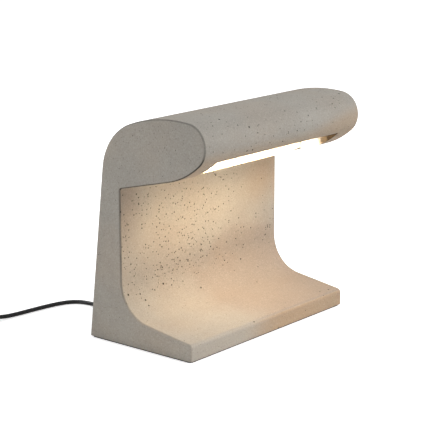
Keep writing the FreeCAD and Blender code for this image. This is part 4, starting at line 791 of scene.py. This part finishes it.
WIRES = {
    "led_wire_positive": MouldedPlastic("wire_red", (0.42, 0.012, 0.012), roughness=0.35),
    "led_wire_negative": MouldedPlastic("wire_black", (0.012, 0.012, 0.012), roughness=0.35),
    "supply_wire_live": MouldedPlastic("wire_brown", (0.13, 0.045, 0.015), roughness=0.35),
    "supply_wire_neutral": MouldedPlastic("wire_blue", (0.015, 0.09, 0.36), roughness=0.35),
}
ALUMINIUM = BareMetal("anodised_aluminium", (0.74, 0.74, 0.75), roughness=0.34)
BRASS = BareMetal("brass", (0.70, 0.48, 0.20), lay=(900.0, 900.0, 60.0), roughness=0.28)
ZINC = BareMetal("zinc_screw", (0.60, 0.60, 0.58), lay=(900.0, 900.0, 60.0), roughness=0.30)
BLACK_STEEL = BareMetal("blackened_steel", (0.035, 0.035, 0.036), roughness=0.42, metallic=0.7)
NICKEL = BareMetal("pin_nickel", (0.68, 0.66, 0.62), roughness=0.16)
GLOW = LitOpal("lit_opal", (1.0, 0.74, 0.46))
DRIVER_BOARD = CircuitBoard("driver_circuit", (0.03, 0.17, 0.07))
STRAP = WovenStrap("coil_strap", (0.022, 0.022, 0.024))
PAPER = PalePaper("studio_paper", (0.86, 0.86, 0.86))


# ---------------------------------------------------------------- mesh work


def dress(node: str, finish: Finish) -> None:
    """Give a CAD node its finish."""
    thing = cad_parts[node]
    for slot in thing.material_slots:
        slot.material = finish.material()
    log.info("%s wears %s", node, finish.name)


def finish_piece(thing: bpy.types.Object, body: str, finish: Finish,
                 stands_for: Sequence[str] = ()) -> bpy.types.Object:
    """Fasten a new piece to its body and dress it.

    Args:
        thing: the piece, in place.
        body: the CAD body that it moves with.
        finish: its surface.
        stands_for: the CAD nodes that it is shown in place of.

    Returns:
        The piece.
    """
    thing.data.materials.append(finish.material())
    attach(thing, body)
    if stands_for:
        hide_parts(*stands_for)
    log.info("%s rides on %s", thing.name, body)
    return thing


def mesh_piece(name: str, work: bmesh.types.BMesh, sharp: float = 38.0) -> bpy.types.Object:
    """Turn finished mesh work into an object, smooth but for edges sharper than an angle.

    Args:
        name: the piece's name.
        work: the mesh, which is freed.
        sharp: the angle in degrees above which an edge stays sharp.

    Returns:
        The new object.
    """
    bmesh.ops.recalc_face_normals(work, faces=work.faces)
    mesh = bpy.data.meshes.new(name)
    work.to_mesh(mesh)
    work.free()
    mesh.shade_smooth()
    mesh.set_sharp_from_angle(angle=math.radians(sharp))
    thing = bpy.data.objects.new(name, mesh)
    bpy.context.scene.collection.objects.link(thing)
    return thing


def loft(work: bmesh.types.BMesh, rings: Sequence[Sequence[Vector]], closed: bool = False) -> None:
    """Skin a row of rings that all have the same number of points.

    Args:
        work: the mesh to add to.
        rings: the rings, in order.
        closed: whether the last ring joins the first; otherwise both ends are capped.
    """
    made = [[work.verts.new(point) for point in ring] for ring in rings]
    count = len(made[0])
    pairs = list(zip(made, made[1:])) + ([(made[-1], made[0])] if closed else [])
    for near, far in pairs:
        for i in range(count):
            j = (i + 1) % count
            work.faces.new((near[i], near[j], far[j], far[i]))
    if not closed:
        work.faces.new(made[0])
        work.faces.new(made[-1])


def lathe(work: bmesh.types.BMesh, profile: Sequence[tuple[float, float]], start: Vector, along: Vector,
          closed: bool = False, sides: int = 56) -> None:
    """Turn a profile round an axis.

    Args:
        work: the mesh to add to.
        profile: distances along the axis and radii there.
        start: where the axis begins.
        along: the axis's direction.
        closed: whether the profile is a closed outline, as round a bore.
        sides: how many sides the turning has.
    """
    axis = along.normalized()
    across = axis.orthogonal().normalized()
    other = axis.cross(across)
    turns = [2.0 * math.pi * i / sides for i in range(sides)]
    rings = [[start + axis * reach + (across * math.cos(t) + other * math.sin(t)) * radius for t in turns]
             for reach, radius in profile]
    loft(work, rings, closed)


def ribbed_taper(length: float, root: float, tip: float, ribs: int,
                 groove: float) -> list[tuple[float, float]]:
    """The profile of a bend relief: a taper from root to tip with rounded grooves between its ribs.

    Args:
        length: how long it is.
        root: its radius where it is thickest.
        tip: its radius at its free end.
        ribs: how many grooves it has.
        groove: how deep a groove is.

    Returns:
        Distances along it and radii there.
    """
    profile = []
    steps = 14 * ribs
    for i in range(steps + 1):
        share = i / steps
        wave = 0.5 - 0.5 * math.cos(2.0 * math.pi * ribs * share)
        dip = groove * max(0.0, wave - 0.45) / 0.55
        profile.append((length * share, root + (tip - root) * share - dip))
    return profile


def oval(width: float, height: float, squareness: float, points: int) -> list[tuple[float, float]]:
    """A rounded rectangle as a superellipse.

    Args:
        width: half its width.
        height: half its height.
        squareness: the superellipse's power; 2 is an ellipse.
        points: how many points it has.

    Returns:
        The outline's points.
    """
    outline = []
    for i in range(points):
        turn = 2.0 * math.pi * i / points
        c, s = math.cos(turn), math.sin(turn)
        outline.append((math.copysign(width * abs(c) ** (2.0 / squareness), c),
                        math.copysign(height * abs(s) ** (2.0 / squareness), s)))
    return outline


def cord_piece(name: str, route: Sequence[tuple[float, float, float]], radius: float) -> bpy.types.Object:
    """A cord as one smooth spline through the middle of its route's runs.

    Args:
        name: the piece's name.
        route: the points that steer it, in metres.
        radius: half the cord's diameter.

    Returns:
        The curve object.
    """
    curve = bpy.data.curves.new(name, "CURVE")
    curve.dimensions = "3D"
    curve.bevel_depth = radius
    curve.bevel_resolution = 5
    curve.resolution_u = 6
    curve.use_fill_caps = True
    spline = curve.splines.new("NURBS")
    spline.points.add(len(route) - 1)
    for point, place in zip(spline.points, route):
        point.co = (*place, 1.0)
    spline.order_u = 3
    spline.use_endpoint_u = True
    thing = bpy.data.objects.new(name, curve)
    bpy.context.scene.collection.objects.link(thing)
    return thing


# ---------------------------------------------------------------- studio


@dataclass
class Studio:
    """The camera, the pale floor and the soft light round the lamp."""

    eye: Vector
    middle: Vector
    pitch: float = -14.033
    heading: float = 39.239
    lens: float = 122.758
    floor_reach: float = 9.0
    sky: float = 0.05

    def camera(self) -> None:
        """A long lens a little above the lamp, looking along it from the left."""
        data = bpy.data.cameras.new("camera")
        data.sensor_width = 36.0
        data.lens = self.lens
        data.clip_start = 0.05
        thing = bpy.data.objects.new("camera", data)
        thing.location = self.eye
        thing.rotation_euler = Euler((math.radians(90.0 + self.pitch), 0.0,
                                      math.radians(self.heading - 90.0)))
        bpy.context.scene.collection.objects.link(thing)
        bpy.context.scene.camera = thing

    def floor(self) -> None:
        """A wide paper floor just under the pad."""
        work = bmesh.new()
        bmesh.ops.create_circle(work, cap_ends=True, segments=96, radius=self.floor_reach)
        thing = mesh_piece("studio_floor", work)
        thing.location.z = -0.0002
        thing.data.materials.append(PAPER.material())

    def lamp(self, name: str, place: Vector, aim: Vector, size: float, power: float, tint: Colour) -> None:
        """A square soft box.

        Args:
            name: the light's name.
            place: where it hangs.
            aim: the point that it faces.
            size: the length of its side.
            power: its power in watts.
            tint: its colour.
        """
        data = bpy.data.lights.new(name, "AREA")
        data.size = size
        data.energy = power
        data.color = tint
        thing = bpy.data.objects.new(name, data)
        thing.location = place
        thing.rotation_euler = (place - aim).to_track_quat("Z", "Y").to_euler()
        bpy.context.scene.collection.objects.link(thing)

    def room(self) -> None:
        """A room that looks white and gives only a little light of its own."""
        world = bpy.data.worlds.new("white_room")
        world.use_nodes = True
        nodes = Nodes(world.node_tree)
        seen = nodes.add("ShaderNodeLightPath").outputs["Is Camera Ray"]
        background = world.node_tree.nodes["Background"]
        background.inputs["Color"].default_value = (1.0, 1.0, 1.0, 1.0)
        nodes.feed(background.inputs["Strength"], nodes.calc("MAXIMUM", seen, self.sky))
        bpy.context.scene.world = world

    def light(self) -> None:
        """Soft boxes overhead, in front on both sides, on the left and behind."""
        self.room()
        for name, place, size, power in (
            ("overhead_box", (0.2, -0.2, 1.9), 1.5, 4.0),
            ("high_front_box", (0.4, -1.2, 1.8), 1.2, 27.0),
            ("right_front_box", (1.2, -1.6, 1.1), 1.2, 17.0),
            ("left_box", (-2.0, 0.4, 0.9), 1.2, 18.0),
            ("back_box", (0.0, 1.6, 1.4), 1.2, 19.0),
        ):
            self.lamp(name, Vector(place), self.middle, size, power, (1.0, 1.0, 1.0))
        bpy.context.scene.view_settings.view_transform = "Standard"


# ---------------------------------------------------------------- the lamp's own pieces


@dataclass
class MainsCord:
    """The cord: a lead from the lamp to the switch, and the wound length from there to the plug."""

    radius: float = 2.4 * MM
    coil_centre: tuple[float, float] = (-0.277, 0.2425)
    outer: float = 38.5 * MM
    band: float = 20.6 * MM
    low: float = 3.3 * MM
    turn_points: int = 20
    turns: int = 9
    unevenness: float = 0.12 * MM
    length_to_switch: float = 0.194
    length_to_plug: float = 1.59

    def lead(self) -> bpy.types.Object:
        """The stretch that lies in view, from the bend relief down to the floor and away."""
        flat = self.radius
        route = [
            (-0.059, 0.10863, 0.0150), (-0.059, 0.121, 0.0146), (-0.0573, 0.1365, 0.0098),
            (-0.0543, 0.1505, 0.0034), (-0.0518, 0.164, flat), (-0.0543, 0.1754, flat),
            (-0.0610, 0.1838, flat), (-0.0716, 0.1896, flat), (-0.0874, 0.1929, flat),
            (-0.105, 0.1954, flat), (-0.122, 0.1972, flat), (-0.139, 0.1990, flat),
            (-0.156, 0.2014, 0.0032), (-0.172, 0.204, 0.0064),
        ]
        return cord_piece("mains_lead", route, self.radius)

    def coil(self) -> list[tuple[float, float, float]]:
        """The wound turns: inwards on the floor, up at the middle, and outwards on top."""
        leave, enter = math.radians(60.0), math.radians(-90.0)
        turns_in = self.band / (2.0 * self.radius)
        sweep = leave - enter - 2.0 * math.pi * self.turns
        count = round(-sweep / (2.0 * math.pi) * self.turn_points)
        pull = 2.0 / (1.0 + math.cos(2.0 * math.pi / self.turn_points))
        points = []
        for i in range(1, count):
            share = i / count
            turn = enter + sweep * share
            inwards = min(share, 1.0 - share) * 2.0
            rise = min(1.0, max(0.0, (share - 0.5) * turns_in * 4.0 + 0.5))
            wander = self.unevenness * math.sin(5.0 * turn + 11.0 * share)
            reach = (self.outer - self.band * inwards + wander) * pull
            height = self.low + 2.0 * self.radius * rise * rise * (3.0 - 2.0 * rise)
            points.append((self.coil_centre[0] + reach * math.cos(turn),
                           self.coil_centre[1] + reach * math.sin(turn), height))
        return points

    def wound(self) -> bpy.types.Object:
        """The length from the switch, through the coil, to the plug."""
        high = self.low + 2.0 * self.radius
        route = [(-0.234, 0.204, 0.0064), (-0.247, 0.2037, 0.0058), (-0.262, 0.2036, 0.0037)]
        route += self.coil()
        route += [(-0.247, 0.2696, high), (-0.238, 0.2655, 0.0076), (-0.229, 0.264, 0.0070)]
        return cord_piece("wound_cord", route, self.radius)

    def build(self) -> None:
        """Both lengths, dressed and fastened to the lamp."""
        lead = finish_piece(self.lead(), "lamp", SHEATH, ["cord_lead"])
        wound = finish_piece(self.wound(), "lamp", SHEATH,
                             ["cord_link", "cord_coil", "cord_tail"])
        dress("supply_cord_end", SHEATH)
        dress("switch_cord_ends", SHEATH)


@dataclass
class CordEntry:
    """The bend relief where the cord leaves the back, and the clamp that holds the cord inside."""

    bore: float = 2.42 * MM
    flange_radius: float = 6.8 * MM
    flange: float = 1.6 * MM
    bush_radius: float = 5.1 * MM
    collar_radius: float = 7.0 * MM
    tail_length: float = 26.4 * MM
    root: float = 5.6 * MM
    tip: float = 3.5 * MM
    ribs: int = 6
    groove: float = 0.9 * MM
    soften: float = 0.4 * MM

    def relief(self) -> bpy.types.Object:
        """One rubber turning: inner flange, bush, collar and ribbed tail, bored for the cord."""
        low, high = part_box("cord_grip")
        start = Vector(((low.x + high.x) / 2.0, low.y, (low.z + high.z) / 2.0))
        length = high.y - low.y
        collar_end = length - self.tail_length
        collar_start = collar_end - self.flange
        outline = [
            (0.0, self.bore), (0.0, self.flange_radius - self.soften),
            (self.soften, self.flange_radius), (self.flange, self.flange_radius),
            (self.flange, self.bush_radius), (collar_start, self.bush_radius),
            (collar_start, self.collar_radius - self.soften),
            (collar_start + self.soften, self.collar_radius),
            (collar_end - self.soften, self.collar_radius), (collar_end, self.collar_radius - self.soften),
        ]
        tail = ribbed_taper(self.tail_length - self.soften, self.root, self.tip, self.ribs, self.groove)
        outline += [(collar_end + reach, radius) for reach, radius in tail]
        outline += [(length, self.tip - self.soften), (length, self.bore)]
        work = bmesh.new()
        lathe(work, outline, start, Vector((0.0, 1.0, 0.0)), closed=True)
        return mesh_piece("bend_relief", work)

    def build(self) -> None:
        """The relief and the dressed clamp."""
        finish_piece(self.relief(), "lamp", RELIEF, ["cord_grip"])
        dress("cord_clamp_base", CLAMP)
        dress("cord_clamp_bridge", CLAMP)
        dress("cord_clamp_screws", ZINC)


@dataclass
class CoilTie:
    """A hook-and-loop strap round the wound cord, its end lapped over on top."""

    width: float = 12.0 * MM
    thickness: float = 0.8 * MM
    half_reach: float = 13.3 * MM
    half_height: float = 5.3 * MM
    squareness: float = 6.0
    lap: float = 0.17
    lap_start: float = 0.94
    lap_rise: float = 0.06
    lap_lift: float = 1.06
    steps: int = 96

    def strap(self) -> bpy.types.Object:
        """A flat band carried round a rounded rectangle and on over its own start."""
        low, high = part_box("coil_tie")
        middle = (low + high) / 2.0
        outline = oval(self.half_reach, self.half_height, self.squareness, self.steps)
        offset = self.steps // 5
        last = round(self.steps * (1.0 + self.lap))
        rings = []
        for i in range(last + 1):
            x, z = outline[(i + offset) % self.steps]
            ahead = outline[(i + offset + 1) % self.steps]
            behind = outline[(i + offset - 1) % self.steps]
            out = Vector((ahead[1] - behind[1], 0.0, behind[0] - ahead[0])).normalized()
            over = min(1.0, max(0.0, (i - self.steps * self.lap_start) / (self.steps * self.lap_rise)))
            lift = self.lap_lift * self.thickness * over * over * (3.0 - 2.0 * over)
            at = Vector((middle.x + x, middle.y, middle.z + z)) + out * lift
            rings.append([at + Vector((0.0, side * self.width / 2.0, 0.0)) * trim
                          + out * (layer * self.thickness / 2.0) for side, layer, trim in self.section()])
        work = bmesh.new()
        loft(work, rings)
        return mesh_piece("tie_strap", work)

    def section(self) -> list[tuple[float, float, float]]:
        """The band's section: which side, which face, and how far out, with its edges eased."""
        return [(-1, -1, 0.96), (1, -1, 0.96), (1, -0.5, 1.0), (1, 0.5, 1.0), (1, 1, 0.96),
                (-1, 1, 0.96), (-1, 0.5, 1.0), (-1, -0.5, 1.0)]

    def build(self) -> None:
        """The dressed strap."""
        finish_piece(self.strap(), "lamp", STRAP, ["coil_tie"])


@dataclass
class InlineSwitch:
    """The rocker switch on the cord."""

    NODES = ("switch_lower_case", "switch_upper_case", "switch_screws")

    def build(self) -> None:
        """Dress the case, the rocker and what they hold."""
        for node, finish in (
            ("switch_lower_case", SWITCH_CASE), ("switch_upper_case", SWITCH_CASE),
            ("switch_rocker", ROCKER), ("switch_screws", ZINC), ("switch_terminals", BRASS),
            ("rocker_pin", ZINC),
        ):
            dress(node, finish)


@dataclass
class Plug:
    """A flat moulded two-pin plug with grip ribs, sleeved pins and a bend relief."""

    half_length: float = 17.0 * MM
    half_width: float = 16.6 * MM
    tail_width: float = 6.6 * MM
    half_height: float = 6.7 * MM
    tail_height: float = 5.6 * MM
    shoulder: float = 4.0 * MM
    rounding: float = 1.6 * MM
    rib_depth: float = 0.55 * MM
    rib_pitch: float = 3.2 * MM
    ribs_from: float = -13.0 * MM
    ribs_to: float = 3.0 * MM
    pin_radius: float = 2.0 * MM
    sleeve_radius: float = 1.9 * MM
    sleeve_length: float = 9.0 * MM
    pin_pitch: float = 18.6 * MM
    relief_root: float = 4.8 * MM
    relief_tip: float = 3.2 * MM
    relief_ribs: int = 6
    relief_groove: float = 0.7 * MM
    sections: int = 68
    ring_points: int = 64

    def half_sizes(self, x: float) -> tuple[float, float]:
        """Half the body's width and height somewhere along it, ribs and roundings included.

        Args:
            x: how far from its middle, towards the pins.

        Returns:
            Half the width and half the height.
        """
        share = min(1.0, (x + self.half_length) / (self.half_length + self.shoulder))
        ease = share * share * (3.0 - 2.0 * share) * 0.35 + share * 0.65
        width = self.tail_width + (self.half_width - self.tail_width) * ease
        height = self.tail_height + (self.half_height - self.tail_height) * ease
        in_ribs = (min(1.0, max(0.0, (x - self.ribs_from) / MM))
                   * min(1.0, max(0.0, (self.ribs_to - x) / MM)))
        wave = 0.5 - 0.5 * math.cos(2.0 * math.pi * (x - self.ribs_from) / self.rib_pitch)
        width -= self.rib_depth * in_ribs * wave
        for end in (x + self.half_length, self.half_length - x):
            if end < self.rounding:
                inset = self.rounding - math.sqrt(self.rounding ** 2 - (self.rounding - end) ** 2)
                width -= inset
                height -= inset
        return width, height

    def centre(self) -> Vector:
        """The middle of the body."""
        low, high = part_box("plug_body")
        return (low + high) / 2.0

    def moulding(self) -> bpy.types.Object:
        """The body, as a row of rounded sections."""
        middle = self.centre()
        rings = []
        for i in range(self.sections + 1):
            x = self.half_length * (2.0 * i / self.sections - 1.0)
            width, height = self.half_sizes(x)
            squareness = 3.0 + 2.5 * i / self.sections
            rings.append([middle + Vector((x, y, z))
                          for y, z in oval(width, height, squareness, self.ring_points)])
        work = bmesh.new()
        loft(work, rings)
        return mesh_piece("plug_moulding", work, 50.0)

    def relief(self) -> bpy.types.Object:
        """The ribbed tail that the cord leaves by."""
        low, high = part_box("plug_relief")
        middle = (low + high) / 2.0
        profile = ribbed_taper(high.x - low.x, self.relief_root, self.relief_tip, self.relief_ribs,
                               self.relief_groove)
        work = bmesh.new()
        lathe(work, profile, Vector((high.x, middle.y, middle.z)), Vector((-1.0, 0.0, 0.0)))
        return mesh_piece("plug_bend_relief", work)

    def pins(self, name: str, profile: Sequence[tuple[float, float]]) -> bpy.types.Object:
        """The same turning for both pins, starting at the plug's face.

        Args:
            name: the piece's name.
            profile: distances from the plug's face and radii there.

        Returns:
            The piece, in place.
        """
        middle = self.centre()
        work = bmesh.new()
        for side in (-1.0, 1.0):
            start = middle + Vector((self.half_length, side * self.pin_pitch / 2.0, 0.0))
            lathe(work, profile, start, Vector((1.0, 0.0, 0.0)), sides=40)
        return mesh_piece(name, work)

    def build(self) -> None:
        """The moulding, relief, pins and sleeves, dressed."""
        finish_piece(self.moulding(), "lamp", PLUG_SHELL, ["plug_body"])
        finish_piece(self.relief(), "lamp", RELIEF, ["plug_relief"])
        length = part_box("plug_pins")[1].x - self.centre().x - self.half_length
        radius = self.pin_radius
        nose = [(length - radius + radius * math.sin(t), radius * math.cos(t))
                for t in (math.radians(10.0 * k) for k in range(9))]
        pin = [(self.sleeve_length, radius), *nose]
        finish_piece(self.pins("plug_contact_pins", pin), "lamp", NICKEL, ["plug_pins"])
        sleeve = [(-0.5 * MM, self.sleeve_radius), (self.sleeve_length, self.sleeve_radius)]
        finish_piece(self.pins("plug_pin_sleeves", sleeve), "lamp", PLUG_SHELL)


@dataclass
class Casting:
    """The concrete block, the conduit cast into it and the pad that it stands on."""

    def build(self) -> None:
        """Dress the block, its conduit and its pad."""
        dress("concrete_body", CONCRETE)
        dress("wire_conduit", CONDUIT)
        dress("base_pad", FOAM)


@dataclass
class LightModule:
    """The LED strip in the slot under the head."""

    tint: Colour = (1.0, 0.75, 0.47)
    length: float = 0.200
    width: float = 0.012
    main_power: float = 0.285
    main_offset: tuple[float, float] = (4.4 * MM, -11.2 * MM)
    main_tilt: float = 60.0
    rear_power: float = 0.215
    rear_offset: tuple[float, float] = (-2.2 * MM, -0.5 * MM)
    rear_tilt: float = 45.0

    def beam(self, name: str, corner: Vector, offset: tuple[float, float], tilt: float, power: float) -> None:
        """A strip of light along the slot, unseen itself.

        Args:
            name: the light's name.
            corner: the lowest front corner of the piece that it is placed by.
            offset: how far back and how far up from that corner its middle is.
            tilt: how far below level it faces, in degrees, towards the back.
            power: its power in watts.
        """
        data = bpy.data.lights.new(name, "AREA")
        data.shape = "RECTANGLE"
        data.size = self.length
        data.size_y = self.width
        data.energy = power
        data.color = self.tint
        thing = bpy.data.objects.new(name, data)
        thing.location = Vector((0.0, corner.y + offset[0], corner.z + offset[1]))
        thing.rotation_euler = Euler((math.radians(90.0 - tilt), 0.0, 0.0))
        thing.visible_camera = False
        bpy.context.scene.collection.objects.link(thing)

    def shine(self) -> None:
        """The strip's light: most from just under the diffuser, some from the slot's back edge."""
        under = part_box("diffuser")[0]
        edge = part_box("rear_reflector")[0]
        self.beam("strip_beam", under, self.main_offset, self.main_tilt, self.main_power)
        self.beam("rear_beam", edge, self.rear_offset, self.rear_tilt, self.rear_power)

    def build(self) -> None:
        """Dress the channel, the strip and what closes them."""
        self.shine()
        for node, finish in (
            ("light_channel", ALUMINIUM), ("channel_inserts", BRASS), ("channel_screws", ZINC),
            ("led_board", LED_BOARD), ("board_screws", ZINC), ("led_chips", PHOSPHOR),
            ("diffuser", GLOW), ("diffuser_end_cap_left", WHITE_PLASTIC),
            ("diffuser_end_cap_right", WHITE_PLASTIC), ("board_connector", WHITE_PLASTIC),
            ("rear_reflector", WHITE_SHEET), ("wire_grommet", GROMMET),
        ):
            dress(node, finish)


@dataclass
class BaseWell:
    """The well under the back: its steel plate, the driver and the wires."""

    def build(self) -> None:
        """Dress the plate, the driver and every wire."""
        for node, finish in (
            ("base_plate", BLACK_STEEL), ("base_plate_screws", BLACK_STEEL),
            ("base_plate_inserts", BRASS), ("driver_case", DRIVER_SHELL), ("driver_lid", DRIVER_SHELL),
            ("driver_board", DRIVER_BOARD), ("driver_components", COMPONENT), ("driver_screws", ZINC),
            *WIRES.items(),
        ):
            dress(node, finish)


def main() -> None:
    """Build the studio and the lamp."""
    logging.basicConfig(level=logging.INFO, format="%(name)s: %(message)s")
    studio = Studio(eye=Vector((-1.27444, -1.03745, 0.52426)), middle=Vector((0.0, 0.0, 0.12)))
    studio.camera()
    CoilTie().build()
    Plug().build()
    CordEntry().build()
    MainsCord().build()
    InlineSwitch().build()
    Casting().build()
    LightModule().build()
    BaseWell().build()
    studio.floor()
    studio.light()


if __name__ == "__main__":
    main()
